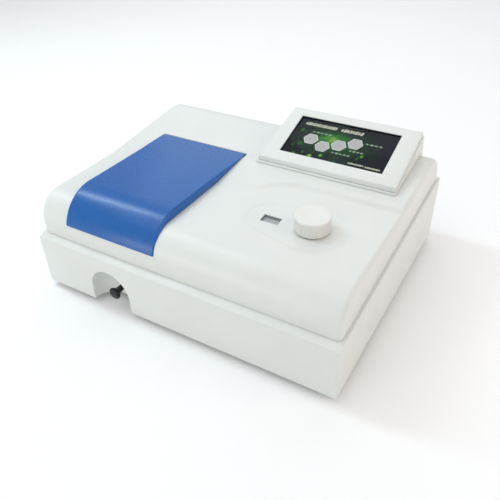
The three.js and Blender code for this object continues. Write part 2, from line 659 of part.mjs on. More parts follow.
function monochromatorCase() {
  const { right, front, back, floorZ, topZ, wall, leg } = mono;
  const left = monoLeft;
  const shell = cut(
    block(left, right, front, back, floorZ, topZ),
    block(left + wall, right - wall, front + wall, back - wall, floorZ + wall, topZ + 5),
  );
  const legs = [left, right - leg].flatMap((x) =>
    [front, back - leg].map((y) => block(x, x + leg, y, y + leg, floorTop + GAP, floorZ + 1)));
  return cut(
    join(shell, ...legs),
    round("x", beam.y, beam.z, left - 1, left + wall + 1, 5),
    round("y", beam.z, lamp.x, back - wall - 1, back + 1, 12),
    round("z", sectorX, knob.y, floorZ - 1, floorZ + wall - 1, 2),
  );
}

const monochromatorLid = () =>
  cut(
    block(monoLeft, mono.right, mono.front, mono.back, mono.topZ + GAP, mono.topZ + 2.5),
    round("z", sectorX, knob.y, mono.topZ - 1, mono.topZ + 5, 4 + SLIDE),
  );

// Dished mirror near the front wall, facing the grating.
const collimatingMirror = () => {
  const y = mono.front + mono.wall + 2;
  const dish = arc(0, y + 200, 194, -Math.PI / 2 + 0.13, -Math.PI / 2, 6);
  return turned("y", beam.z, lamp.x - 30, [[0, y], [25.5, y], ...dish], 28);
};

const slitPlate = (axis, a, b, from) =>
  cut(
    round(axis, a, b, from, from + 1.5, 13),
    axis === "x" ? block(from - 1, from + 3, a - 0.5, a + 0.5, b - 6, b + 6)
      : block(b - 0.5, b + 0.5, from - 1, from + 3, a - 6, a + 6),
  );

const condenserLens = () =>
  turned("y", beam.z, lamp.x, [
    [0, mono.back + 4], [8, mono.back + 5], [11.5, mono.back + 6.6], [11.5, mono.back + 8.4],
    [8, mono.back + 10], [0, mono.back + 11],
  ], 28);

function lampHousing() {
  const half = lamp.housing / 2;
  const [z0, z1] = [beam.z - lamp.height / 2, beam.z + lamp.height / 2];
  const shell = cut(
    block(lamp.x - half, lamp.x + half, lamp.y - half, lamp.y + half, z0, z1),
    block(
      lamp.x - half + lamp.wall, lamp.x + half - lamp.wall,
      lamp.y - half + lamp.wall, lamp.y + half + 1, z0 + lamp.wall, z1 - lamp.wall,
    ),
  );
  const legs = [lamp.x - half, lamp.x + half - 10].map((x) =>
    block(x, x + 10, lamp.y - half, lamp.y + half, floorTop + GAP, z0 + 1));
  const window = round("y", beam.z, lamp.x, lamp.y - half - 1, lamp.y - half + 5, lamp.window);
  return cut(join(shell, ...legs), window, ...ventRow(vent.roofLength, vent.roofPitch, z1 - 5, z1 + 1));
}

const lampSocket = () =>
  cut(
    block(
      lamp.x - 9, lamp.x + 9, lamp.y - 8, lamp.y + 8,
      beam.z - lamp.height / 2 + lamp.wall + GAP, beam.z - 14,
    ),
    block(lamp.x - 5, lamp.x + 5, lamp.y - 2, lamp.y + 2, beam.z - 20, beam.z),
  );

// Quartz capsule with a flat pinch that stands in the socket.
const halogenLamp = () =>
  join(
    turned("z", lamp.x, lamp.y, [
      [0, beam.z - 10], [3.5, beam.z - 10], [lamp.bulb, beam.z - 6], [lamp.bulb, beam.z + 8],
      [4, beam.z + 13], [1, beam.z + 16], [0, beam.z + 16],
    ], 20),
    block(lamp.x - 4.5, lamp.x + 4.5, lamp.y - 1.6, lamp.y + 1.6, beam.z - 19.5, beam.z - 9),
  );

function heatSink() {
  const [z0, z1] = [panelZ - sink.height / 2, panelZ + sink.height / 2];
  const x0 = rear.sink - sink.width / 2;
  const plate = block(x0, x0 + sink.width, panelY - base.wall - sink.plate, panelY - base.wall + 1, z0, z1);
  const step = (sink.width - sink.fin) / (sink.fins - 1);
  const fins = Array.from({ length: sink.fins }, (_, i) =>
    block(x0 + i * step, x0 + i * step + sink.fin, panelY - base.wall, halfDepth - GAP, z0, z1));
  return join(plate, ...fins);
}

// Box against the sample well's left wall, standing on its own leg.
function detectorHousing() {
  const right = wellLeft - well.wall - GAP;
  const [y0, y1, z0, z1] = [beam.y - 20, beam.y + 20, beam.z - 20, beam.z + 20];
  return cut(
    join(
      block(right - 34, right, y0, y1, z0, z1),
      block(right - 34, right - 28, y0, y1, floorTop + GAP, z0 + 1),
    ),
    block(right - 31, right - 3, y0 + 3, y1 - 3, z0 + 3, z1 + 1),
    round("x", beam.y, beam.z, right - 4, right + 1, 9),
  );
}

const photodiode = () => {
  const x = wellLeft - well.wall - GAP - 3;
  return join(
    round("x", beam.y, beam.z, x - 8, x - 1, 7),
    round("x", beam.y, beam.z, x - 10, x - 7.5, 9),
  );
};

// ---------------------------------------------------------------- electronics and rear panel

// Circuit board on four pillars, with its parts as blocks: [x, y, length, width, height].
function circuitBoard(x0, x1, y0, y1, parts) {
  const z = floorTop + board.standoff;
  const pillars = [x0 + 4, x1 - 4].flatMap((x) =>
    [y0 + 4, y1 - 4].map((y) => round("z", x, y, floorTop + GAP, z + 0.5, board.pillar, board.pillar, 12)));
  const raised = parts.map(([x, y, length, width, height]) =>
    block(x, x + length, y, y + width, z + 1, z + board.thick + height));
  return join(block(x0, x1, y0, y1, z, z + board.thick), ...pillars, ...raised);
}

const mainBoard = () =>
  circuitBoard(-96, 24, 76, 160, [
    [-60, 100, 20, 20, 2], [-30, 96, 14, 14, 2], [-84, 88, 10, 24, 3], [0, 90, 16, 30, 5],
    [-20, 130, 30, 8, 8], [-88, 130, 24, 12, 4], [-50, 138, 14, 10, 9],
  ]);

const powerSupply = () =>
  circuitBoard(-212, -108, 72, 158, [
    [-205, 80, 44, 38, 36], [-152, 84, 16, 16, 25], [-130, 84, 16, 16, 25], [-150, 112, 34, 12, 18],
    [-204, 130, 22, 14, 12], [-176, 132, 12, 10, 15],
  ]);

function fanFrame() {
  const half = fan.size / 2;
  const [y0, y1, z] = [panelY - base.wall - GAP - fan.depth, panelY - base.wall - GAP, panelZ];
  const outline = roundedRect(z - half, z + half, rear.fan - half, rear.fan + half, 5);
  const spokes = [0, 1, 2].map((i) => {
    const bar3 = new THREE.BoxGeometry(3, 2, fan.bore - 2).translate(0, 0, fan.bore / 2 + 1);
    return solid(bar3.rotateY((i * 2 * Math.PI) / 3).translate(rear.fan, y0 + 1, z));
  });
  return join(
    cut(bar("y", outline, y0, y1), round("y", z, rear.fan, y0 - 1, y1 + 1, fan.bore, fan.bore, 32)),
    round("y", z, rear.fan, y0, y0 + 2, fan.hub, fan.hub, 24),
    ...spokes,
  );
}

function fanRotor() {
  const [y0, y1, z] = [panelY - base.wall - fan.depth + 2.4, panelY - base.wall - 1.5, panelZ];
  const blades = Array.from({ length: fan.blades }, (_, i) => {
    const blade = new THREE.BoxGeometry(12, 1.4, fan.tip - fan.hub + 2).rotateZ(rad(38));
    const placed = blade.translate(0, 0, (fan.tip + fan.hub) / 2 - 1).rotateY((i * 2 * Math.PI) / fan.blades);
    return solid(placed.translate(rear.fan, (y0 + y1) / 2, z));
  });
  return join(round("y", z, rear.fan, y0, y1, fan.hub, fan.hub, 24), ...blades);
}

// Finger guard over the fan: rings on a cross.
function fanGuard() {
  const [y0, y1, z] = [panelY + GAP, panelY + GAP + 2, panelZ];
  const disc = (radius, grow) => round("y", z, rear.fan, y0 - grow, y1 + grow, radius, radius, 32);
  const rings = Array.from({ length: guard.rings }, (_, i) => {
    const outer = guard.radius - i * guard.pitch;
    return cut(disc(outer, 0), disc(outer - guard.wire, 1));
  });
  const spokes = [rad(45), rad(-45)].map((angle) =>
    solid(new THREE.BoxGeometry(2 * guard.radius, 1.6, 2).rotateY(angle).translate(rear.fan, y0 + 0.8, z)));
  return join(...rings, ...spokes);
}

// A block at the connectors' height, centred on x, between two depths.
const panelBox = (x, halfAcross, halfHeight, from, to) =>
  block(x - halfAcross, x + halfAcross, from, to, rear.z - halfHeight, rear.z + halfHeight);

function mainsInlet() {
  const { width, height, depth, flange, pinLength } = inlet;
  const box = (grow, from, to) => panelBox(rear.inlet, width / 2 + grow, height / 2 + grow, from, to);
  const body = join(box(0, panelY - depth - 3, panelY + 1), box(4, panelY + GAP, panelY + flange));
  const pins = [[-7, -1], [0, 3], [7, -1]].map(([x, z]) =>
    panelBox(rear.inlet + x, 1, 2, panelY - depth - 1, panelY - depth + pinLength).translate([0, 0, z]));
  return join(cut(body, box(-2.2, panelY - depth, panelY + 10)), ...pins);
}

function switchFrame() {
  const { width, height, depth, flange } = toggle;
  const box = (grow, from, to) => panelBox(rear.toggle, width / 2 + grow, height / 2 + grow, from, to);
  return cut(
    join(box(0, panelY - depth, panelY + 1), box(2, panelY + GAP, panelY + flange)),
    box(-1.5, panelY - depth + 3, panelY + 10),
  );
}

// Rocker with two sloping faces, at rest in its off position.
function switchRocker() {
  const [halfSpan, pivotY] = [toggle.height / 2 - 3, panelY - 4];
  const halfAcross = toggle.width / 2 - 2;
  const section = [
    [-halfSpan, 3.2], [-halfSpan, 0], [-4, -5], [4, -5], [halfSpan, 0], [halfSpan, 3.2], [0, 4.6],
  ].map(([z, y]) => {
    const [c, s] = [Math.cos(toggle.angle), Math.sin(toggle.angle)];
    return [rear.z + z * c - y * s, pivotY + z * s + y * c];
  });
  return bar("x", section.map(([z, y]) => [y, z]), rear.toggle - halfAcross, rear.toggle + halfAcross);
}

const fuseHolder = () =>
  turned("y", rear.z, rear.fuse, [
    [0, panelY - 24], [fuse.radius - 0.8, panelY - 24], [fuse.radius, panelY - 18],
    [fuse.radius, panelY + GAP], [fuse.flange, panelY + GAP], [fuse.flange, panelY + 2],
    [fuse.flange - 1.5, panelY + 2], [fuse.radius + 0.6, panelY + fuse.cap], [0, panelY + fuse.cap],
  ]);

// D-shaped nine-pin shell on a flange with two jack posts.
function serialPort() {
  const section = (grow) => {
    const [wide, narrow, half] = [serial.width / 2 + grow, serial.width / 2 - 1 + grow, 4 + grow];
    return [[-half, -wide], [half, -narrow], [half, narrow], [-half, wide]]
      .map(([z, x]) => [rear.z + z, rear.serial + x]);
  };
  const posts = [-12.5, 12.5].map((x) =>
    round("y", rear.z, rear.serial + x, panelY + 0.5, panelY + 5, 2.4, 2.4, 6));
  const shell = bar("y", section(0), panelY - 8, panelY + serial.proud);
  const flange = panelBox(rear.serial, 15.5, 6.2, panelY + GAP, panelY + 1.2);
  const socket = bar("y", section(-serial.wall), panelY - 2, panelY + 8);
  return join(cut(join(shell, flange), socket), ...posts);
}

const usbPort = () =>
  join(
    cut(
      panelBox(rear.usb, usb.width / 2, usb.height / 2, panelY - 14, panelY + 1.5),
      panelBox(rear.usb, usb.width / 2 - usb.wall, usb.height / 2 - usb.wall, panelY - 10, panelY + 5),
    ),
    panelBox(rear.usb, 3, 1.6, panelY - 11, panelY - 1),
  );

// ---------------------------------------------------------------- display head

const faceNormal = [-Math.sin(face.angle), Math.cos(face.angle)];

// Everything above the display's face, lowered along its normal.
function aboveFace(lowered) {
  const slab = new THREE.BoxGeometry(400, 400, 200).translate(0, 0, 100).rotateX(face.angle);
  return solid(slab.translate(
    screen.centreX, face.frontY - faceNormal[0] * lowered, face.frontZ - faceNormal[1] * lowered));
}

// The head's leaning sides as a tall frustum, moved inwards by inset.
function headFrustum(inset) {
  const ring = (z) => {
    const lean = (z - head.footZ) * head.draft + inset;
    const right = head.right - (z - head.footZ) * head.rightDraft - inset;
    return [
      [head.left + lean, head.front + lean], [right, head.front + lean],
      [right, head.back - lean], [head.left + lean, head.back - lean],
    ].map(([x, y]) => [x, y, z]);
  };
  const corners = [...ring(120), ...ring(230)];
  const faces = [
    [0, 3, 2], [0, 2, 1], [4, 5, 6], [4, 6, 7],
    [0, 1, 5], [0, 5, 4], [1, 2, 6], [1, 6, 5], [2, 3, 7], [2, 7, 6], [3, 0, 4], [3, 4, 7],
  ];
  const geometry = new THREE.BufferGeometry()
    .setAttribute("position", new THREE.Float32BufferAttribute(corners.flat(), 3))
    .setIndex(faces.flat());
  return solid(geometry);
}

// A plate parallel to the face: (across, up the slope) from the face's front middle, sunk along its normal.
function facePlate(halfAcross, from, to, sunk, thick) {
  const plate = new THREE.BoxGeometry(halfAcross * 2, to - from, thick);
  plate.translate(0, (from + to) / 2, -sunk - thick / 2);
  return solid(plate.rotateX(face.angle).translate(screen.centreX, face.frontY, face.frontZ));
}

const displayBase = () =>
  cut(
    headFrustum(0),
    aboveFace(face.slab + GAP),
    headFrustum(3),
    coverSpace(GAP),
  );

function displayBezel() {
  const [from, to] = [screen.fromFront, screen.fromFront + screen.height];
  const slab = cut(headFrustum(face.step), aboveFace(0));
  const under = facePlate(200, -60, 260, face.slab, 120);
  return cut(
    slab,
    under,
    facePlate(screen.width / 2, from, to, -5, 30),
    facePlate(
      screen.width / 2 + screen.margin + GAP, from - screen.margin - GAP, to + screen.margin + GAP,
      screen.sink - GAP, 40,
    ),
  );
}

const touchScreen = () =>
  facePlate(
    screen.width / 2 + screen.margin, screen.fromFront - screen.margin,
    screen.fromFront + screen.height + screen.margin, screen.sink, screen.glass,
  );

const lcdModule = () =>
  facePlate(
    screen.width / 2 + screen.margin - 1, screen.fromFront - screen.margin + 1,
    screen.fromFront + screen.height + screen.margin - 1, screen.sink + screen.glass + GAP, 4,
  );

// ---------------------------------------------------------------- finishes and assembly

const finish = (color, roughness, metalness = 0) =>
  new THREE.MeshStandardMaterial({ color, roughness, metalness });
const WHITE = finish(0xe9ebe7, 0.45);
const BLUE = finish(0x3461b5, 0.38);
const BLACK = finish(0x17191b, 0.5);
const FOAM = finish(0x232427, 0.95);
const STEEL = finish(0xb9bcbf, 0.3, 1);
const ALUMINIUM = finish(0xa7aaad, 0.4, 1);
const ANODISED = finish(0x1e1f21, 0.45, 0.8);
const BRASS = finish(0xb8964c, 0.35, 1);
const GLASS = finish(0xdfe8ea, 0.05);
const SCREEN = finish(0x10241c, 0.12);
const BOARD = finish(0x1d5a34, 0.6);
const RUBBER = finish(0x1b1b1c, 0.9);
const CERAMIC = finish(0xe6e0d2, 0.6);
const PRINTED = finish(0xdde2e0, 0.5);

const instrument = new THREE.Group();

function add(name, material, body) {
  const mesh = new THREE.Mesh(geometryOf(body), material);
  mesh.name = name;
  instrument.add(mesh);
}

add("base_tray", WHITE, baseTray());
footPlaces.forEach(([name, x, y]) => add("foot_" + name, RUBBER, rubberFoot(x, y)));
add("top_cover", WHITE, topCover());
screwPlaces.forEach(([name, x]) => add("cover_screw_" + name, STEEL, coverScrew(x)));

add("sample_lid", BLUE, sampleLid());
add("lid_seal", FOAM, lidSeal());
add("hinge_channel", BLACK, hingeChannel());
add("hinge_pin_left", STEEL, hingePins.left());
add("hinge_pin_right", STEEL, hingePins.right());

add("sample_well", ANODISED, sampleWell());
add("rail_left", STEEL, carriageRail(-1));
add("rail_right", STEEL, carriageRail(1));
add("cell_carriage", ALUMINIUM, cellCarriage());
add("cell_rack", ANODISED, cellRack());
add("pull_rod", STEEL, pullRod());
add("pull_knob", BLACK, pullKnob());
add("rod_bush", BLACK, rodBush());

add("wavelength_knob", WHITE, wavelengthKnob());
add("knob_shaft", STEEL, knobShaft());
add("shaft_bush", BRASS, shaftBush());
add("wavelength_dial", PRINTED, wavelengthDial());
add("scale_window", GLASS, scaleLens());
add("drive_pinion", BRASS, drivePinion());
add("sector_gear", BRASS, sectorGear());
add("grating_shaft", STEEL, gratingShaft());
add("grating", GLASS, grating());

add("monochromator_case", ANODISED, monochromatorCase());
add("monochromator_lid", ANODISED, monochromatorLid());
add("collimating_mirror", GLASS, collimatingMirror());
add("exit_slit", STEEL, slitPlate("x", beam.y, beam.z, monoLeft - 1.5 - GAP));
add("entrance_slit", STEEL, slitPlate("y", beam.z, lamp.x, mono.back + GAP));
add("condenser_lens", GLASS, condenserLens());
add("lamp_housing", ALUMINIUM, lampHousing());
add("lamp_socket", CERAMIC, lampSocket());
add("halogen_lamp", GLASS, halogenLamp());
add("heat_sink", ANODISED, heatSink());
add("detector_housing", ANODISED, detectorHousing());
add("photodiode", STEEL, photodiode());

add("main_board", BOARD, mainBoard());
add("power_supply", BOARD, powerSupply());
add("fan_frame", BLACK, fanFrame());
add("fan_rotor", BLACK, fanRotor());
add("fan_guard", STEEL, fanGuard());
add("mains_inlet", BLACK, mainsInlet());
add("switch_frame", BLACK, switchFrame());
add("switch_rocker", BLACK, switchRocker());
add("fuse_holder", BLACK, fuseHolder());
add("serial_port", STEEL, serialPort());
add("usb_port", STEEL, usbPort());

add("display_base", WHITE, displayBase());
add("display_bezel", WHITE, displayBezel());
add("touch_screen", SCREEN, touchScreen());
add("lcd_module", ALUMINIUM, lcdModule());

export default instrument;
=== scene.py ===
"""Bench spectrophotometer: the finished surface of every piece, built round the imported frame.

Sizes are millimetres, and a mesh is brought to metres when its piece is made. +X is the operator's right,
+Y the back and +Z up, as in the frame.
"""
from __future__ import annotations

import json
import logging
import math
from dataclasses import dataclass
from enum import Enum
from functools import lru_cache
from typing import Iterable, Sequence

import bmesh
import bpy
from mathutils import Matrix, Vector


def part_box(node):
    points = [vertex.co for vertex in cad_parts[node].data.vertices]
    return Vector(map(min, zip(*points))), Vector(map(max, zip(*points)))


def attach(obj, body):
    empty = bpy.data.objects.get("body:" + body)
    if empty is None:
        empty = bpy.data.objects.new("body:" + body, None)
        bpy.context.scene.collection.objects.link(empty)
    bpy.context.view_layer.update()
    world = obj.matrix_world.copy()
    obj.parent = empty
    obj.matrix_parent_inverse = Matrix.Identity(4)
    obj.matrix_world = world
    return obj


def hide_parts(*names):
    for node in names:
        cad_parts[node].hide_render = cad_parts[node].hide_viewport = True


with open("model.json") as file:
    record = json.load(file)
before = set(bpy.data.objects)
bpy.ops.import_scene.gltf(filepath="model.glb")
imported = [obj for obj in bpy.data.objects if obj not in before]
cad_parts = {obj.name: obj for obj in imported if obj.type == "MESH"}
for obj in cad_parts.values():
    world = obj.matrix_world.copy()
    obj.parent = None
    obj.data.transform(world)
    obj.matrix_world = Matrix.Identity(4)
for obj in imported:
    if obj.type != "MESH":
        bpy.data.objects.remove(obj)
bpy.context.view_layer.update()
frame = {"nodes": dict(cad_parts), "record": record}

MM = 0.001
GAP = 0.3  # between two pieces that rest on each other
LOG = logging.getLogger("spectrophotometer")

Point = Sequence[float]
Colour = tuple[float, float, float, float]
Outline = list[tuple[float, float]]


# ------------------------------------------------------------------ finishes


def linear(code: str) -> Colour:
    """Turn an sRGB hex colour into Blender's linear colour.

    Args:
        code: Six hex digits, such as "e9ebe7".

    Returns:
        Red, green, blue and an alpha of 1.
    """
    channels = [int(code[i : i + 2], 16) / 255 for i in (0, 2, 4)]
    return (*[c / 12.92 if c <= 0.04045 else ((c + 0.055) / 1.055) ** 2.4 for c in channels], 1.0)


def add_node(tree: bpy.types.NodeTree, kind: str, links: dict | None = None, **settings) -> bpy.types.Node:
    """Add a node with its settings, its fixed input values and its links.

    Args:
        tree: The node tree.
        kind: The node's type name.
        links: Input name or index to a value, or to the socket that feeds it.
        **settings: Attributes of the node.

    Returns:
        The new node.
    """
    made = tree.nodes.new(kind)
    for name, value in settings.items():
        setattr(made, name, value)
    for key, value in (links or {}).items():
        socket = made.inputs[key]
        if isinstance(value, bpy.types.NodeSocket):
            tree.links.new(value, socket)
        else:
            socket.default_value = value
    return made


class Grain(Enum):
    """How a surface's fine pattern runs."""

    EVEN = (1.0, 1.0, 1.0)
    ALONG_X = (0.02, 1.0, 1.0)
    ALONG_Y = (1.0, 0.02, 1.0)
    ALONG_Z = (1.0, 1.0, 0.02)


@dataclass(frozen=True)
class Finish:
    """A surface: what it is made of, and the fine pattern that its making leaves.

    Attributes:
        name: The real material and how it was worked.
        slot: The record's material slot; not used by the script.
        colour: Its colour, as sRGB hex.
        shade: The colour that its patches drift towards.
        roughness: Its average roughness.
        metallic: 1 for bare metal.
        ior: Index of refraction, left at the default on metals.
        clear: Share of light let through.
        grain: Direction of the fine pattern.
        grain_mm: Size of the fine pattern.
        relief_mm: Depth of the fine pattern.
        patch_mm: Size of the faint patches of shade and gloss.
        patch: Strength of the patches, 0 to 1.
        sheen: Soft glow of a fibrous or foamed surface.
        specular: Strength of the mirror reflection, below 0.5 where a coating damps it.
        cover: How much of what lies behind it hides; below 1 for a thin clear pane.
    """

    name: str
    slot: str
    colour: str
    shade: str
    roughness: float
    metallic: float = 0.0
    ior: float = 1.5
    clear: float = 0.0
    grain: Grain = Grain.EVEN
    grain_mm: float = 1.2
    relief_mm: float = 0.02
    patch_mm: float = 60.0
    patch: float = 0.5
    sheen: float = 0.0
    specular: float = 0.5
    cover: float = 1.0

    def material(self) -> bpy.types.Material:
        """The finish as a procedural material."""
        return finish_material(self)


@lru_cache(maxsize=None)
def finish_material(finish: Finish) -> bpy.types.Material:
    """Build a finish's material once.

    Args:
        finish: The finish.

    Returns:
        A material whose colour, gloss and relief vary over the surface.
    """
    made = bpy.data.materials.new(finish.name)
    made.use_nodes = True
    tree = made.node_tree
    shader = tree.nodes["Principled BSDF"]
    place = add_node(tree, "ShaderNodeTexCoord").outputs["Object"]
    patches = add_node(
        tree, "ShaderNodeTexNoise",
        {"Vector": place, "Scale": 1 / (finish.patch_mm * MM), "Detail": 3.0, "Roughness": 0.6},
    ).outputs["Fac"]
    stretched = add_node(
        tree, "ShaderNodeMapping", {"Vector": place, "Scale": finish.grain.value},
    ).outputs[0]
    fine = add_node(
        tree, "ShaderNodeTexNoise",
        {"Vector": stretched, "Scale": 1 / (finish.grain_mm * MM), "Detail": 2.0, "Roughness": 0.5},
    ).outputs["Fac"]
    weight = add_node(
        tree, "ShaderNodeMapRange",
        {"Value": patches, "From Min": 0.35, "From Max": 0.7, "To Min": 0.0, "To Max": finish.patch},
    ).outputs["Result"]
    colour = colour_mix(tree, weight, finish.colour, finish.shade)
    gloss = add_node(
        tree, "ShaderNodeMapRange",
        {
            "Value": fine, "From Min": 0.25, "From Max": 0.75,
            "To Min": max(0.02, finish.roughness - 0.05), "To Max": finish.roughness + 0.05,
        },
    ).outputs["Result"]
    bump = add_node(
        tree, "ShaderNodeBump", {"Height": fine, "Strength": 0.5, "Distance": finish.relief_mm * MM},
    ).outputs["Normal"]
    tree.links.new(colour, shader.inputs["Base Color"])
    tree.links.new(gloss, shader.inputs["Roughness"])
    tree.links.new(bump, shader.inputs["Normal"])
    shader.inputs["Metallic"].default_value = finish.metallic
    shader.inputs["Transmission Weight"].default_value = finish.clear
    shader.inputs["Sheen Weight"].default_value = finish.sheen
    shader.inputs["Specular IOR Level"].default_value = finish.specular
    shader.inputs["Alpha"].default_value = finish.cover
    if not finish.metallic:
        shader.inputs["IOR"].default_value = finish.ior
    return made


def colour_mix(
    tree: bpy.types.NodeTree, weight: bpy.types.NodeSocket, first: str, second: str,
) -> bpy.types.NodeSocket:
    """Mix two hex colours by a weight.

    Args:
        tree: The node tree.
        weight: The socket that says how much of the second colour shows.
        first: The colour at weight 0.
        second: The colour at weight 1.

    Returns:
        The mixed colour's socket.
    """
    ramp = add_node(tree, "ShaderNodeValToRGB", {"Fac": weight})
    ramp.color_ramp.elements[0].color = linear(first)
    ramp.color_ramp.elements[1].color = linear(second)
    return ramp.outputs["Color"]


# Spark-eroded ABS: satin white with a fine even grain and hardly any drift in shade.
WHITE_ABS = Finish(
    "white ABS, spark-eroded", "white_abs", "dfe2de", "dadcd8", 0.42, grain_mm=1.4, relief_mm=0.012,
)
# The same white, a little warmer, with a finer and duller skin.
KNOB_ABS = Finish(
    "white ABS, fine-textured knob", "white_abs", "e6e6e2", "dddcd7", 0.45, grain_mm=1.0, relief_mm=0.01,
)
# The same moulding in a deep blue, a little glossier, so that its bends carry a soft highlight.
BLUE_ABS = Finish(
    "blue ABS, satin moulded", "blue_abs", "1f5da5", "2563aa", 0.28, grain_mm=1.0, relief_mm=0.004,
    specular=0.36,
)
# Matt black moulding: a broad, weak highlight on a slightly pebbled skin.
BLACK_ABS = Finish(
    "black ABS, moulded", "black_plastic", "16181a", "1d2022", 0.42, grain_mm=0.9, relief_mm=0.02,
)
# Bakelite-like phenolic: black with a clear gloss.
PHENOLIC = Finish(
    "phenolic, polished", "black_plastic", "0b1113", "11181b", 0.3, grain_mm=3.0, relief_mm=0.004,
    specular=0.3,
)
# Cut foam: no highlight at all, a pitted dark surface with a faint bloom at its edges.
FOAM = Finish(
    "closed-cell foam, cut", "foam", "232427", "2c2d31", 0.95, ior=1.4, grain_mm=1.6, relief_mm=0.3,
    sheen=0.2,
)
# Rubber: dull, nearly black, with only a broad grey shine.
RUBBER = Finish(
    "nitrile rubber, moulded", "rubber", "1a1a1b", "232324", 0.85, ior=1.52, grain_mm=1.2, relief_mm=0.05,
)
# Ground steel: bright, with fine streaks along its length.
STEEL = Finish(
    "stainless steel, ground", "steel", "c3c6c8", "b4b7ba", 0.28, metallic=1.0, grain=Grain.ALONG_Y,
    grain_mm=0.7, relief_mm=0.01,
)
# Chromed wire: a sharp mirror shine.
BRIGHT_STEEL = Finish(
    "steel wire, chromed", "steel", "d5d8da", "c8cbcd", 0.16, metallic=1.0, relief_mm=0.003,
)
# Milled aluminium: light grey, with tool marks across that spread its highlight.
ALUMINIUM = Finish(
    "aluminium, milled", "aluminium", "b3b6b8", "a4a7aa", 0.38, metallic=1.0, grain=Grain.ALONG_X,
    grain_mm=0.9, relief_mm=0.015,
)
# Anodised aluminium: a dark, half metallic sheen.
ANODISED = Finish(
    "aluminium, black anodised", "anodised", "1a1b1d", "24262a", 0.46, metallic=0.6, grain_mm=0.8,
    relief_mm=0.02,
)
# Brass: a warm yellow metal with a soft turned shine.
BRASS = Finish("brass, turned", "brass", "b99a52", "a98a45", 0.3, metallic=1.0, grain_mm=0.8, relief_mm=0.01)
# A thin pane in front of something: nearly all of what lies behind shows, under a faint reflection.
CLEAR_PANE = Finish(
    "acrylic, thin pane", "clear", "f2f6f6", "eef3f3", 0.06, ior=1.49, relief_mm=0.001, cover=0.12,
)
# Coated glass: dark and glossy, with what lies behind it showing nearly unchanged.
TOUCH_GLASS = Finish(
    "touch glass, anti-reflection coated", "screen_glass", "0b1110", "0e1514", 0.08, relief_mm=0.001,
    cover=0.2,
)
# Quartz: clear, seen by its edges and its reflections.
QUARTZ = Finish(
    "quartz glass, drawn", "clear", "f4f6f6", "eceff0", 0.06, ior=1.46, clear=0.9, relief_mm=0.004,
)
# Aluminised glass: a clean mirror.
COATED_GLASS = Finish(
    "glass, aluminised", "coated_glass", "dfe3e4", "d5dadc", 0.07, metallic=1.0, relief_mm=0.001,
)
# Solder mask: a glossy green skin over the board, uneven in patches.
SOLDER_MASK = Finish(
    "laminate, green solder mask", "circuit_board", "1c5a34", "237040", 0.35, grain_mm=2.4, relief_mm=0.04,
    patch_mm=9.0,
)
# Unglazed ceramic: chalky cream with no gloss.
CERAMIC = Finish(
    "steatite, unglazed", "ceramic", "e7e1d3", "dcd5c4", 0.6, ior=1.6, grain_mm=1.0, relief_mm=0.03,
)
# Lacquered disc: light grey with a weak gloss.
DIAL_WHITE = Finish(
    "aluminium disc, lacquered", "printed_dial", "c9cdcc", "bcc2c2", 0.4, grain_mm=1.2, relief_mm=0.006,
)
# Printed ink: flat dark grey on the disc.
DIAL_INK = Finish(
    "screen-printed ink", "printed_dial", "596065", "636a6e", 0.55, grain_mm=0.8, relief_mm=0.01,
)


# ------------------------------------------------------------------ solids


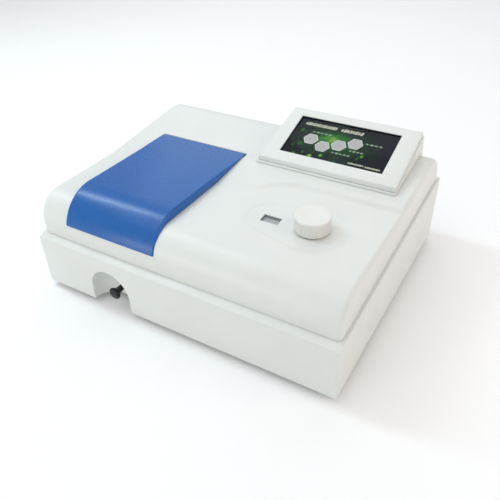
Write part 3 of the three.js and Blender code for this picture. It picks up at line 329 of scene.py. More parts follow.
class Solid:
    """A closed mesh in millimetres that can be cut, joined and rounded before it becomes a piece."""

    def __init__(self, verts: Iterable[Point], faces: Iterable[Sequence[int]]) -> None:
        """Make the mesh and turn its faces outwards.

        Args:
            verts: Corner points.
            faces: Corner numbers of each face.
        """
        mesh = bpy.data.meshes.new("solid")
        mesh.from_pydata([tuple(v) for v in verts], [], [tuple(f) for f in faces])
        work = bmesh.new()
        work.from_mesh(mesh)
        bmesh.ops.remove_doubles(work, verts=work.verts, dist=1e-4)
        bmesh.ops.dissolve_degenerate(work, edges=work.edges, dist=1e-5)
        bmesh.ops.recalc_face_normals(work, faces=work.faces)
        work.to_mesh(mesh)
        work.free()
        self.obj = bpy.data.objects.new("solid", mesh)
        bpy.context.scene.collection.objects.link(self.obj)

    def change(self, kind: str, **settings) -> "Solid":
        """Apply one modifier.

        Args:
            kind: The modifier's type name.
            **settings: Its settings.

        Returns:
            This solid, changed.
        """
        modifier = self.obj.modifiers.new(kind, kind)
        for name, value in settings.items():
            setattr(modifier, name, value)
        graph = bpy.context.evaluated_depsgraph_get()
        result = bpy.data.meshes.new_from_object(self.obj.evaluated_get(graph))
        old = self.obj.data
        self.obj.modifiers.clear()
        self.obj.data = result
        bpy.data.meshes.remove(old)
        return self

    def _boolean(self, other: "Solid", operation: str) -> "Solid":
        """Combine with another solid, which is used up."""
        self.change("BOOLEAN", operation=operation, object=other.obj, solver="MANIFOLD")
        other.discard()
        return self

    def cut(self, *others: "Solid") -> "Solid":
        """Take other solids away from this one."""
        for other in others:
            self._boolean(other, "DIFFERENCE")
        return self

    def join(self, *others: "Solid") -> "Solid":
        """Add other solids to this one."""
        for other in others:
            self._boolean(other, "UNION")
        return self

    def keep(self, other: "Solid") -> "Solid":
        """Keep only what is inside another solid."""
        return self._boolean(other, "INTERSECT")

    def turned(self, matrix: Matrix) -> "Solid":
        """Move the mesh by a matrix."""
        self.obj.data.transform(matrix)
        return self

    def rounded(self, width: float, segments: int = 3, angle: float = 28.0) -> "Solid":
        """Round the edges that are sharper than an angle in degrees."""
        return self.change(
            "BEVEL", width=width, segments=segments, limit_method="ANGLE", angle_limit=math.radians(angle),
            use_clamp_overlap=False, miter_outer="MITER_ARC",
        )

    def discard(self) -> None:
        """Remove the mesh."""
        mesh = self.obj.data
        bpy.data.objects.remove(self.obj)
        bpy.data.meshes.remove(mesh)

    def piece(
        self, name: str, finish: Finish, body: str, replaces: Sequence[str] = (), smooth: float = 35.0,
    ) -> bpy.types.Object:
        """Turn the solid into a finished piece.

        Args:
            name: The piece's name.
            finish: Its finish.
            body: The body that it rides on.
            replaces: CAD nodes that it stands for.
            smooth: Angle in degrees below which shading runs on over an edge.

        Returns:
            The piece.
        """
        mesh = self.obj.data
        mesh.transform(Matrix.Scale(MM, 4))
        return finish_piece(self.obj, name, finish, body, replaces, smooth)


def finish_piece(
    obj: bpy.types.Object, name: str, finish: Finish, body: str, replaces: Sequence[str] = (),
    smooth: float = 35.0,
) -> bpy.types.Object:
    """Name, dress, shade and seat a mesh object that is already in metres.

    Args:
        obj: The object.
        name: Its name.
        finish: Its finish.
        body: The body that it rides on.
        replaces: CAD nodes that it stands for.
        smooth: Angle in degrees below which shading runs on over an edge.

    Returns:
        The same object.
    """
    obj.name = name
    obj.data.name = name
    obj.data.materials.clear()
    obj.data.materials.append(finish.material())
    obj.data.polygons.foreach_set("material_index", [0] * len(obj.data.polygons))
    obj.data.shade_smooth()
    obj.data.set_sharp_from_angle(angle=math.radians(smooth))
    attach(obj, body)
    if replaces:
        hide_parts(*replaces)
    LOG.info("%s: %d faces on %s", name, len(obj.data.polygons), body)
    return obj


class Axis(Enum):
    """An axis, as the place of (a, b, along) in (x, y, z)."""

    X = (2, 0, 1)
    Y = (1, 2, 0)
    Z = (0, 1, 2)

    def place(self, a: float, b: float, along: float) -> tuple[float, float, float]:
        """The 3-D point of a section point. Sections are (y, z) on X, (z, x) on Y and (x, y) on Z."""
        values = (a, b, along)
        return tuple(values[i] for i in self.value)


def prism(axis: Axis, outline: Sequence[Point], low: float, high: float) -> Solid:
    """A bar of constant section.

    Args:
        axis: The direction that it runs in.
        outline: Its section.
        low: Where it starts.
        high: Where it ends.

    Returns:
        The solid.
    """
    count = len(outline)
    verts = [axis.place(a, b, along) for along in (low, high) for a, b in outline]
    sides = [(i, (i + 1) % count, count + (i + 1) % count, count + i) for i in range(count)]
    return Solid(verts, [*sides, range(count), range(2 * count - 1, count - 1, -1)])


def block(low: Point, high: Point) -> Solid:
    """A rectangular solid between two corners."""
    (x0, y0, z0), (x1, y1, z1) = low, high
    return prism(Axis.Z, [(x0, y0), (x1, y0), (x1, y1), (x0, y1)], z0, z1)


def revolve(axis: Axis, a: float, b: float, profile: Sequence[Point], sides: int = 64) -> Solid:
    """A turned solid.

    Args:
        axis: The turning axis.
        a: First section coordinate of the axis.
        b: Second section coordinate of the axis.
        profile: Points of (radius, distance along), starting and ending on the axis.
        sides: Steps round the axis.

    Returns:
        The solid.
    """
    verts = [
        axis.place(a + r * math.cos(t), b + r * math.sin(t), h)
        for t in (2 * math.pi * i / sides for i in range(sides))
        for r, h in profile
    ]
    rows = len(profile)
    faces = [
        (i * rows + j, i * rows + j + 1, (i + 1) % sides * rows + j + 1, (i + 1) % sides * rows + j)
        for i in range(sides)
        for j in range(rows - 1)
    ]
    return Solid(verts, faces)


def rod(axis: Axis, a: float, b: float, low: float, high: float, radius: float, sides: int = 64) -> Solid:
    """A round bar."""
    return revolve(axis, a, b, [(0, low), (radius, low), (radius, high), (0, high)], sides)


def arc(
    ca: float, cb: float, radius: float, start: float, end: float, steps: int,
) -> Outline:
    """Points on an arc, both ends included, with angles in radians."""
    turns = [start + (end - start) * i / steps for i in range(steps + 1)]
    return [(ca + radius * math.cos(t), cb + radius * math.sin(t)) for t in turns]


def loft(rows: Sequence[Sequence[Point]]) -> Solid:
    """Join rows of points into a closed solid with a flat face at each end."""
    count = len(rows[0])
    verts = [p for row in rows for p in row]
    faces = [
        (i * count + j, i * count + (j + 1) % count, (i + 1) * count + (j + 1) % count, (i + 1) * count + j)
        for i in range(len(rows) - 1)
        for j in range(count)
    ]
    last = (len(rows) - 1) * count
    return Solid(verts, [*faces, range(count), range(last, last + count)])


def cad_box(node: str) -> tuple[Vector, Vector]:
    """A CAD node's lowest and highest corners, in millimetres."""
    low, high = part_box(node)
    return low / MM, high / MM


def wrap(mesh: bpy.types.Mesh) -> Solid:
    """A solid round a mesh that is already in millimetres."""
    made = Solid([], [])
    empty = made.obj.data
    made.obj.data = mesh
    bpy.data.meshes.remove(empty)
    return made


def gather(*solids: Solid) -> Solid:
    """Put separate closed shells into one solid, with no cutting between them."""
    work = bmesh.new()
    for solid in solids:
        work.from_mesh(solid.obj.data)
        solid.discard()
    mesh = bpy.data.meshes.new("gathered")
    work.to_mesh(mesh)
    work.free()
    return wrap(mesh)


def node_result(tree: bpy.types.NodeTree, values: dict) -> Solid:
    """Run a geometry tree on an empty object and keep its plain mesh.

    Args:
        tree: The geometry tree.
        values: Its inputs by name.

    Returns:
        What the tree makes.
    """
    host = wrap(bpy.data.meshes.new("pattern"))
    modifier = host.obj.modifiers.new("pattern", "NODES")
    modifier.node_group = tree
    for item in tree.interface.items_tree:
        if item.in_out == "INPUT":
            modifier[item.identifier] = values[item.name]
    graph = bpy.context.evaluated_depsgraph_get()
    mesh = bpy.data.meshes.new_from_object(host.obj.evaluated_get(graph))
    host.discard()
    return wrap(mesh)


@lru_cache(maxsize=None)
def start_tree(name: str, inputs: tuple[tuple[str, str], ...]) -> bpy.types.NodeTree:
    """An empty geometry tree with named inputs and a geometry output.

    Args:
        name: The tree's name.
        inputs: Each input's name and socket type.

    Returns:
        The tree.
    """
    tree = bpy.data.node_groups.new(name, "GeometryNodeTree")
    for label, kind in inputs:
        tree.interface.new_socket(label, in_out="INPUT", socket_type=kind)
    tree.interface.new_socket("Geometry", in_out="OUTPUT", socket_type="NodeSocketGeometry")
    return tree


def end_tree(tree: bpy.types.NodeTree, shape: bpy.types.NodeSocket, finish: bpy.types.NodeSocket) -> None:
    """Close a geometry tree with real geometry in its finish."""
    real = add_node(tree, "GeometryNodeRealizeInstances", {"Geometry": shape}).outputs[0]
    dressed = add_node(tree, "GeometryNodeSetMaterial", {"Geometry": real, "Material": finish}).outputs[0]
    add_node(tree, "NodeGroupOutput", {0: dressed})


@lru_cache(maxsize=None)
def row_tree() -> bpy.types.NodeTree:
    """Copies of one unit in a straight row, or round an axis, or both at once."""
    tree = start_tree("row or ring of one unit", (
        ("Unit", "NodeSocketObject"), ("Count", "NodeSocketInt"), ("Start", "NodeSocketVector"),
        ("Step", "NodeSocketVector"), ("Turn", "NodeSocketVector"), ("Finish", "NodeSocketMaterial"),
    ))
    given = add_node(tree, "NodeGroupInput").outputs
    line = add_node(
        tree, "GeometryNodeMeshLine",
        {"Count": given["Count"], "Start Location": given["Start"], "Offset": given["Step"]}, mode="OFFSET",
    ).outputs[0]
    index = add_node(tree, "GeometryNodeInputIndex").outputs[0]
    turn = add_node(
        tree, "ShaderNodeVectorMath", {0: given["Turn"], "Scale": index}, operation="SCALE",
    ).outputs[0]
    unit = add_node(tree, "GeometryNodeObjectInfo", {"Object": given["Unit"]}).outputs["Geometry"]
    placed = add_node(
        tree, "GeometryNodeInstanceOnPoints", {"Points": line, "Instance": unit, "Rotation": turn},
    ).outputs[0]
    end_tree(tree, placed, given["Finish"])
    return tree


def repeated(
    unit: Solid, count: int, start: Point = (0, 0, 0), step: Point = (0, 0, 0), turn: Point = (0, 0, 0),
) -> Solid:
    """Repeat a unit, which is used up.

    Args:
        unit: The unit, round its own origin.
        count: How many copies.
        start: Where the first one goes.
        step: Shift from one to the next.
        turn: Rotation from one to the next, in radians about X, Y and Z.

    Returns:
        The copies as one solid.
    """
    made = node_result(row_tree(), {
        "Unit": unit.obj, "Count": count, "Start": start, "Step": step, "Turn": turn,
        "Finish": STEEL.material(),
    })
    unit.discard()
    return made


@lru_cache(maxsize=None)
def guard_tree() -> bpy.types.NodeTree:
    """Round wire rings, one inside the other, all of the same wire."""
    tree = start_tree("wire rings", (
        ("Rings", "NodeSocketInt"), ("Inner", "NodeSocketFloat"), ("Pitch", "NodeSocketFloat"),
        ("Wire", "NodeSocketFloat"), ("Centre", "NodeSocketVector"), ("Finish", "NodeSocketMaterial"),
    ))
    given = add_node(tree, "NodeGroupInput").outputs
    line = add_node(
        tree, "GeometryNodeMeshLine", {
            "Count": given["Rings"], "Start Location": given["Centre"], "Offset": (0, 0, 0),
        },
        mode="OFFSET",
    ).outputs[0]
    index = add_node(tree, "GeometryNodeInputIndex").outputs[0]
    radius = add_node(
        tree, "ShaderNodeMath", {0: index, 1: given["Pitch"], 2: given["Inner"]}, operation="MULTIPLY_ADD",
    ).outputs[0]
    circle = add_node(tree, "GeometryNodeCurvePrimitiveCircle", {"Resolution": 96, "Radius": 1.0}).outputs[0]
    rings = add_node(
        tree, "GeometryNodeInstanceOnPoints",
        {"Points": line, "Instance": circle, "Rotation": (math.pi / 2, 0.0, 0.0), "Scale": radius},
    ).outputs[0]
    curves = add_node(tree, "GeometryNodeRealizeInstances", {"Geometry": rings}).outputs[0]
    wire = add_node(
        tree, "GeometryNodeCurvePrimitiveCircle", {"Resolution": 12, "Radius": given["Wire"]},
    ).outputs[0]
    tubes = add_node(tree, "GeometryNodeCurveToMesh", {"Curve": curves, "Profile Curve": wire}).outputs[0]
    end_tree(tree, tubes, given["Finish"])
    return tree


def refined(node: str, finish: Finish, bevel: float = 0.4, smooth: float = 30.0) -> bpy.types.Object:
    """Remake a CAD node with merged faces and softened edges.

    Args:
        node: The CAD node.
        finish: Its finish.
        bevel: Edge softening.
        smooth: Angle in degrees below which shading runs on over an edge.

    Returns:
        The finished piece.
    """
    work = bmesh.new()
    work.from_mesh(frame["nodes"][node].data)
    bmesh.ops.remove_doubles(work, verts=work.verts, dist=1e-6)
    bmesh.ops.dissolve_limit(work, angle_limit=math.radians(1), verts=work.verts, edges=work.edges)
    mesh = bpy.data.meshes.new(node)
    work.to_mesh(mesh)
    work.free()
    mesh.transform(Matrix.Scale(1 / MM, 4))
    solid = wrap(mesh)
    solid.change(
        "BEVEL", width=bevel, segments=2, limit_method="ANGLE", angle_limit=math.radians(32),
        use_clamp_overlap=True,
    )
    return solid.piece(node + "_finished", finish, home_of(node), [node], smooth)


@lru_cache(maxsize=None)
def home_of(node: str) -> str:
    """The body that a CAD node belongs to."""
    bodies = frame["record"]["behaviour"]["bodies"]
    return next(body for body, nodes in bodies.items() if node in nodes)


def numeral(text: str, size: float, place: Matrix) -> Solid:
    """Thin printed figures.

    Args:
        text: The figures.
        size: Their height.
        place: From the figures' own plane to the row frame, in millimetres.

    Returns:
        The figures as a solid.
    """
    curve = bpy.data.curves.new("figures", "FONT")
    curve.body = text
    curve.size = size
    curve.align_x = "CENTER"
    curve.align_y = "CENTER"
    curve.extrude = 0.03
    curve.resolution_u = 2
    obj = bpy.data.objects.new("figures", curve)
    bpy.context.scene.collection.objects.link(obj)
    graph = bpy.context.evaluated_depsgraph_get()
    mesh = bpy.data.meshes.new_from_object(obj.evaluated_get(graph))
    bpy.data.objects.remove(obj)
    bpy.data.curves.remove(curve)
    mesh.transform(place)
    return wrap(mesh)


def smoothstep(low: float, high: float, value: float) -> float:
    """0 below low, 1 above high, and a smooth ramp between them."""
    t = min(1.0, max(0.0, (value - low) / (high - low)))
    return t * t * (3 - 2 * t)


def steps(low: float, high: float, pitch: float) -> list[float]:
    """Evenly spaced values from low to high, about a pitch apart."""
    count = max(1, round((high - low) / pitch))
    return [low + (high - low) * i / count for i in range(count + 1)]


# ------------------------------------------------------------------ case


@dataclass
class Case:
    """Sizes that the base, the cover and the lid share."""

    front_z: float = 90.0
    wall: float = 3.0
    floor_z: float = 8.0
    nose: float = 38.0
    ramp_y: float = -30.0
    ramp_angle: float = math.radians(5.6)
    fillet: float = 120.0
    rear: float = 50.0
    deck_z: float = 147.0

    def __post_init__(self) -> None:
        """Read the overall places from the frame."""
        self.base_low, self.base_high = cad_box("base_tray")
        self.cover_low, self.cover_high = cad_box("top_cover")
        self.knob = sum(cad_box("wavelength_knob"), Vector()) / 2

    def ledge_z(self, y: float) -> float:
        """Height of the sloping shelf between the two shells."""
        share = (y - self.base_low.y) / (self.base_high.y - self.base_low.y)
        return self.front_z + (self.base_high.z - self.front_z) * share

    def ramp_z(self, y: float) -> float:
        """Height of the ramp behind the deck."""
        return self.deck_z + (y - self.ramp_y) * math.tan(self.ramp_angle)

    def profile(self, inset: float, drop: float = 0.0) -> Outline:
        """The cover's side outline as (y, z), from its front foot over the top to its back foot.

        Args:
            inset: How far inside the outer surface it lies.
            drop: How far below the shelf it starts and ends.

        Returns:
            The outline's points.
        """
        front, back = self.cover_low.y + inset, self.cover_high.y + 0.1 - inset
        tan, sin, cos = math.tan(self.ramp_angle), math.sin(self.ramp_angle), math.cos(self.ramp_angle)
        fillet_y = self.ramp_y - self.fillet * math.tan(self.ramp_angle / 2)
        rear_y = self.cover_high.y + 0.1 - self.rear
        rear_z = self.deck_z + (rear_y - self.rear * sin - self.ramp_y) * tan - self.rear * cos
        foot = math.asin(max(-1.0, min(1.0, (self.ledge_z(back) + GAP - rear_z) / (self.rear - inset))))
        points = [(front, self.ledge_z(front) + GAP - drop)]
        points += arc(
            front - inset + self.nose, self.deck_z - self.nose, self.nose - inset, math.pi, math.pi / 2,
            16,
        )
        flat = points[-1][0]
        points += [(y, self.deck_z - inset) for y in steps(flat, fillet_y, 2.0)[1:-1]]
        points += arc(
            fillet_y, self.deck_z + self.fillet, self.fillet + inset, -math.pi / 2,
            -math.pi / 2 + self.ramp_angle, 5,
        )
        top_y = rear_y - (self.rear - inset) * sin
        start = points[-1][0]
        rises = steps(start, 30.0, 2.0)[1:] + steps(30.0, top_y, 4.0)[1:-1]
        points += [(y, self.ramp_z(y) - inset / cos) for y in rises]
        points += arc(rear_y, rear_z, self.rear - inset, math.pi / 2 + self.ramp_angle, foot, 20)
        if drop:
            points.append((points[-1][0], points[-1][1] - drop))
        return points

    def space(self, clearance: float) -> Solid:
        """The space that the cover fills, grown by a clearance, reaching well below the shelf."""
        outline = self.profile(-clearance, drop=30.0)
        return prism(Axis.X, outline, self.cover_low.x - clearance, self.cover_high.x + clearance)


@dataclass
class TopCover:
    """The upper shell: rounded nose, level floor round the knob, rising rear and rounded back."""

    case: Case
    edge: float = 6.0
    recess_depth: float = 1.2
    knob_recess: float = 48.0
    window_recess: float = 34.0
    window_recess_x: float = 80.0
    recess_edge: float = 3.0
    floor_centre: tuple[float, float] = (92.5, -63.6)
    floor_radius: float = 81.0
    floor_back: float = 16.5

    def beyond_floor(self, x: float, y: float) -> float:
        """How far a place lies outside the level floor round the knob, negative inside it."""
        beyond = y - self.floor_back
        if x < self.floor_centre[0]:
            beyond = max(beyond, math.dist((x, y), self.floor_centre) - self.floor_radius)
        return beyond

    def relief(self, x: float, y: float) -> float:
        """Height that the shapes round the knob add at a place.

        Args:
            x: Place along X.
            y: Place along Y.

        Returns:
            Millimetres above the plain deck and ramp, negative in the recess and over the level floor.
        """
        knob = self.case.knob
        reach = knob.x - self.window_recess_x
        lean = (self.knob_recess - self.window_recess) / reach
        across = abs(y - knob.y)
        along = knob.x - x
        slope = lean / math.sqrt(1 - lean * lean)
        share = min(1.0, max(0.0, (along - across * slope) / reach))
        radius = self.knob_recess + (self.window_recess - self.knob_recess) * share
        outside = math.hypot(along - share * reach, across) - radius
        recess = -self.recess_depth * (1 - smoothstep(-self.recess_edge, self.recess_edge * 0.2, outside))
        rise = max(0.0, self.case.ramp_z(y) - self.case.deck_z)
        return recess - rise * (1 - smoothstep(-7.0, 0.5, self.beyond_floor(x, y)))

    def skin(self) -> Solid:
        """The outer surface as a closed solid, with rounded side edges."""
        low, high = self.case.cover_low, self.case.cover_high
        turns = [math.pi / 2 * i / 8 for i in range(9)]
        ends = [
            (low.x + self.edge * (1 - math.sin(t)), self.edge * (1 - math.cos(t))) for t in reversed(turns)
        ]
        inner = steps(low.x + self.edge, 0.0, 8.0) + steps(0.0, high.x - 30, 2.0)[1:]
        inner += steps(high.x - 30, high.x - self.edge, 6.0)[1:]
        rows = [*ends[:-1], *((x, 0.0) for x in inner)]
        rows += [(low.x + high.x - x, inset) for x, inset in reversed(ends[:-1])]
        lofted = []
        for x, inset in rows:
            row = []
            for y, z in self.case.profile(inset):
                row.append((x, y, z + self.relief(x, y) if -135 < y < 30 else z))
            lofted.append(row)
        return loft(lofted)

    def build(self) -> bpy.types.Object:
        """Cut the shell's openings, round their edges and seat it."""
        case = self.case
        low, high = case.cover_low, case.cover_high
        shell = self.skin()
        hollow = prism(Axis.X, case.profile(case.wall, drop=30.0), low.x + case.wall, high.x - case.wall)
        radius, back = self.floor_radius + case.wall, self.floor_back + case.wall
        (x, y), turn = self.floor_centre, math.asin(
            (back - self.floor_centre[1]) / (self.floor_radius + case.wall),
        )
        floor = [(high.x + 10, y), (high.x + 10, back), *arc(x, y, radius, turn, math.pi, 48)]
        hollow.cut(prism(Axis.Z, floor, case.deck_z - case.wall, 200))
        shell.cut(hollow)
        lid_low, lid_high = cad_box("sample_lid")
        channel_low, channel_high = cad_box("hinge_channel")
        shell.cut(
            block((lid_low.x + 11, -158, 100), (lid_high.x - 11, 14, 200)),
            block(
                (lid_low.x - 0.8, channel_low.y + 2.4, 140), (lid_high.x + 0.8, channel_high.y - 2.4, 170),
            ),
            rod(Axis.Z, case.knob.x, case.knob.y, 130, 160, 6.3),
            prism(Axis.Z, self.window_outline(), 130, 160),
        )
        return shell.rounded(0.45, 2, 40).piece("top_cover_shell", WHITE_ABS, "instrument", ["top_cover"])

    def window_outline(self) -> Outline:
        """The scale window: a slot whose ends are curved about the knob."""
        low, high = cad_box("scale_window")
        knob = self.case.knob
        near, far = knob.x - high.x + 4, knob.x - low.x - 4
        y0, y1 = low.y + 4 - knob.y, high.y - 4 - knob.y
        ends = []
        for radius, (first, last) in ((near, (y1, y0)), (far, (y0, y1))):
            ends += arc(
                knob.x, knob.y, radius, math.pi - math.asin(first / radius),
                math.pi - math.asin(last / radius), 8,
            )
        return ends


@dataclass
class BaseTray:
    """The lower shell: plain walls, a sloping shelf, the finger recess and the recessed connector panel."""

    case: Case
    edge: float = 0.8
    shelf_front: float = 10.0
    shelf_fall: float = 4.5
    shelf_side: float = 4.0
    lip: float = 5.0
    niche_half: float = 33.0
    niche_depth: float = 28.0
    niche_spring: float = 32.0
    niche_top: float = 66.0
    niche_x: float = -109.0
    panel: tuple[float, float, float, float] = (-213.0, 208.0, 20.0, 92.0)
    recess: float = 7.0

    def niche(self, grow: float) -> Solid:
        """The scooped finger recess, grown by a wall."""
        front = self.case.base_low.y
        half, depth = self.niche_half + grow, self.niche_depth + grow
        rise = self.niche_top - self.niche_spring + grow
        sides = 64
        profile = [(math.cos(t), math.sin(t)) for t in (math.pi / 2 * i / 16 for i in range(17))]
        foot = self.case.floor_z - (0 if grow else 5)
        rings = [(1.0, foot - self.niche_spring)] + [(r, h * rise) for r, h in profile]
        dome = revolve(Axis.Z, 0, 0, [(0, foot - self.niche_spring), *rings[:-1], (0, rise)], sides)
        stretch = Matrix.Diagonal((half, depth, 1, 1))
        return dome.turned(Matrix.Translation((self.niche_x, front, self.niche_spring)) @ stretch)

    def section(self, inset: float) -> Outline:
        """The tray's outline as (y, z) seen from its right side, moved inwards."""
        case = self.case
        front, back, floor = case.base_low.y + inset, case.base_high.y - inset, case.floor_z + inset
        shelf = case.base_low.y + self.shelf_front
        return [
            (front, floor), (back, floor), (back, case.ledge_z(back) - inset), (
                shelf, case.ledge_z(shelf) - inset,
            ),
            (front, case.ledge_z(front) - self.shelf_fall - inset),
        ]

    def build(self) -> bpy.types.Object:
        """Make the tray."""
        case = self.case
        low, high = case.base_low, case.base_high
        wall, floor = case.wall, case.floor_z
        tray = prism(Axis.X, self.section(0.0), low.x, high.x)
        tray.cut(prism(Axis.X, self.section(wall), low.x + wall, high.x - wall))
        x0, x1, z0, z1 = self.panel
        face_y = high.y - self.recess
        tray.join(
            block((x0 - wall, face_y - wall, z0 - wall), (x1 + wall, high.y - wall / 2, z1 + wall)),
            self.niche(wall).keep(block((-200, low.y + 0.01, floor), (0, 0, 85))),
        )
        tray.cut(
            block(
                (low.x + self.shelf_side + self.lip, low.y + self.shelf_front + self.lip, 80),
                (high.x - self.shelf_side - self.lip, high.y - self.shelf_side - self.lip, 130),
            ),
            self.niche(0),
            block((x0, face_y, z0), (x1, high.y + 1, z1)),
            rod(Axis.Y, 31, -103.5, low.y, -150, 6.3),
            *self.panel_holes(face_y),
            *self.floor_vents(),
        )
        return tray.rounded(self.edge, 3, 40).piece(
            "base_tray_shell", WHITE_ABS, "instrument", ["base_tray"],
        )

    def panel_holes(self, face_y: float) -> list[Solid]:
        """One hole in the connector panel for each part that sits in it."""
        holes = []
        for node, grow in (("mains_inlet", -4), ("switch_frame", -2), ("usb_port", 0), ("heat_sink", 0)):
            low, high = cad_box(node)
            holes.append(
                block(
                    (low.x - grow - GAP, face_y - 10, low.z - grow - GAP),
                    (high.x + grow + GAP, face_y + 1, high.z + grow + GAP),
                ),
            )
        for node, radius in (("fuse_holder", 6.3), ("fan_frame", 27.5)):
            middle = sum(cad_box(node), Vector()) / 2
            holes.append(rod(Axis.Y, middle.z, middle.x, face_y - 10, face_y + 1, radius))
        middle = sum(cad_box("serial_port"), Vector()) / 2
        holes.append(
            block((middle.x - 9.3, face_y - 10, middle.z - 5), (middle.x + 9.3, face_y + 1, middle.z + 5)),
        )
        return holes

    def floor_vents(self) -> list[Solid]:
        """Slots in the floor under the lamp."""
        middle = sum(cad_box("lamp_housing"), Vector()) / 2
        return [
            block((middle.x - 30, middle.y - 22 + i * 11, 0), (middle.x + 30, middle.y - 18 + i * 11, 14))
            for i in range(5)
        ]


@dataclass
class SampleLid:
    """The blue lid: flat top, rounded front bend, softly rounded sides and a hinge barrel behind."""

    case: Case
    nose: float = 58.0
    wall: float = 2.5
    barrel: float = 4.0
    edge: float = 3.6
    rear_top_z: float = 156.0

    def outline(self, inset: float, points: int = 28) -> Outline:
        """Side outline as (y, z), moved inwards."""
        low, high = cad_box("sample_lid")
        hinge_y, hinge_z = high.y - self.barrel, self.rear_top_z - self.barrel
        front = -183.1
        centre = (front + self.nose, high.z - self.nose)
        fall = math.atan2(high.z - self.rear_top_z, hinge_y - centre[0])
        return [
            (front + inset, low.z - 20), (hinge_y, low.z - 20),
            *arc(
                hinge_y, hinge_z, self.barrel - inset, -math.pi / 2 if not inset else 0.0,
                math.pi / 2 - fall, 10,
            ),
            *[
                (
                    y, high.z - inset - (y - centre[0]) * math.tan(fall),
                ) for y in reversed(steps(-100.0, 40.0, 10.0))
            ],
            *arc(*centre, self.nose - inset, math.pi / 2 - fall, math.pi, points),
        ]

    def build(self) -> bpy.types.Object:
        """Make the lid."""
        low, high = cad_box("sample_lid")
        hinge_y, hinge_z = high.y - self.barrel, self.rear_top_z - self.barrel
        turns = [math.pi / 2 * i / 6 for i in range(7)]
        ends = [
            (low.x + self.edge * (1 - math.sin(t)), self.edge * (1 - math.cos(t))) for t in reversed(turns)
        ]
        rows = [*ends, *[(low.x + high.x - x, inset) for x, inset in reversed(ends)]]
        shell = loft([[(x, y, z) for y, z in self.shrunk(inset)] for x, inset in rows])
        shell.keep(block((low.x - 1, -200, low.z), (high.x + 1, 100, 200)))
        shell.cut(
            prism(Axis.X, self.outline(self.wall), low.x + self.wall, high.x - self.wall),
            self.case.space(0.4),
        )
        shell.join(rod(Axis.X, hinge_y, hinge_z, low.x, high.x, self.barrel))
        for x0, x1 in ((low.x + 5, low.x + 8), (high.x - 8, high.x - 5)):
            shell.cut(block((x0 - 0.6, hinge_y - 5, 130), (x1 + 0.6, hinge_y + 5, hinge_z + 2.6)))
        return shell.rounded(0.35, 2, 40).piece("sample_lid_shell", BLUE_ABS, "lid", ["sample_lid"])

    def shrunk(self, inset: float) -> Outline:
        """The outline with its front bend and top moved inwards, which fades out towards the hinge."""
        centre_y, centre_z = -183.1 + self.nose, cad_box("sample_lid")[1].z - self.nose
        moved = []
        for y, z in self.outline(0.0):
            if z > centre_z and y < centre_y:
                share = 1 - inset / math.dist((y, z), (centre_y, centre_z))
                moved.append((centre_y + (y - centre_y) * share, centre_z + (z - centre_z) * share))
            elif z > 150:
                moved.append((y, z - inset * (1 - smoothstep(-60.0, 44.0, y))))
            else:
                moved.append((y + inset if y < centre_y else y, z))
        return moved


# ------------------------------------------------------------------ display head


@dataclass
class DisplayHead:
    """The tilted screen housing: a slab bezel on a leaning base, with a lit panel behind touch glass."""

    case: Case
    front_y: float = 40.0
    front_z: float = 164.0
    angle: float = math.radians(17.65)
    slab: float = 6.5
    step: float = 1.5
    foot_z: float = 151.0
    lean: float = math.tan(math.radians(9))
    right_lean: float = math.tan(math.radians(1))
    left: float = -5.0
    right: float = 205.0
    front: float = 38.0
    back: float = 158.5
    centre_x: float = 100.5
    screen_width: float = 154.0
    screen_height: float = 79.0
    from_front: float = 20.5
    sink: float = 2.0
    glass: float = 1.6

    @property
    def tilt(self) -> Matrix:
        """From the face's own frame (across, up the slope, out of the face) to the object's frame."""
        return Matrix.Translation(
            (self.centre_x, self.front_y, self.front_z),
        ) @ Matrix.Rotation(self.angle, 4, "X")

    def plate(self, half: float, low: float, high: float, top: float, bottom: float) -> Solid:
        """A block parallel to the face, between two distances up the slope and two heights over the face."""
        return block((-half, low, bottom), (half, high, top)).turned(self.tilt)

    def frustum(self, inset: float) -> Solid:
        """The head's leaning sides, moved inwards."""
        rows = []
        for z in (120.0, 230.0):
            lean = (z - self.foot_z) * self.lean + inset
            right = self.right - (z - self.foot_z) * self.right_lean - inset
            rows.append([
                (self.left + lean, self.front + lean, z), (right, self.front + lean, z),
                (right, self.back - lean, z), (self.left + lean, self.back - lean, z),
            ])
        return loft(rows)

    def build(self) -> None:
        """Make the housing, the glass and the lit panel."""
        base = self.frustum(0)
        base.cut(self.plate(300, -200, 400, 200, -self.slab - GAP), self.frustum(3), self.case.space(GAP))
        base.rounded(0.7, 3, 40).piece("display_base_shell", WHITE_ABS, "instrument", ["display_base"])
        bezel = self.frustum(self.step)
        low, high = self.from_front, self.from_front + self.screen_height
        bezel.cut(
            self.plate(300, -200, 400, 200, 0),
            self.plate(300, -200, 400, -self.slab, -200),
            self.plate(self.screen_width / 2, low, high, 5, -30),
            self.plate(self.screen_width / 2 + 5.3, low - 5.3, high + 5.3, -self.sink + GAP, -40),
        )
        bezel.rounded(1.1, 4, 40).piece("display_bezel_shell", WHITE_ABS, "instrument", ["display_bezel"])
        glass = self.plate(self.screen_width / 2 + 5, low - 5, high + 5, -self.sink, -self.sink - self.glass)
        glass.rounded(0.3, 2).piece("touch_glass", TOUCH_GLASS, "instrument", ["touch_screen"])
        self.picture()

    def picture(self) -> None:
        """The lit panel: a dark green field, hexagon buttons and plain bars for the lettering."""
        depth = -self.sink - self.glass - 0.1
        half = self.screen_width / 2 + 1
        low, high = self.from_front - 1, self.from_front + self.screen_height + 1
        panel = block((-half, low, depth - 0.12), (half, high, depth - 0.06)).turned(self.tilt)
        obj = panel.piece("lit_panel", SCREEN_FIELD, "instrument")
        obj.data.materials[0] = field_material(self)
        marks = menu_marks(self, depth)
        marks.name = marks.data.name = "menu_marks"


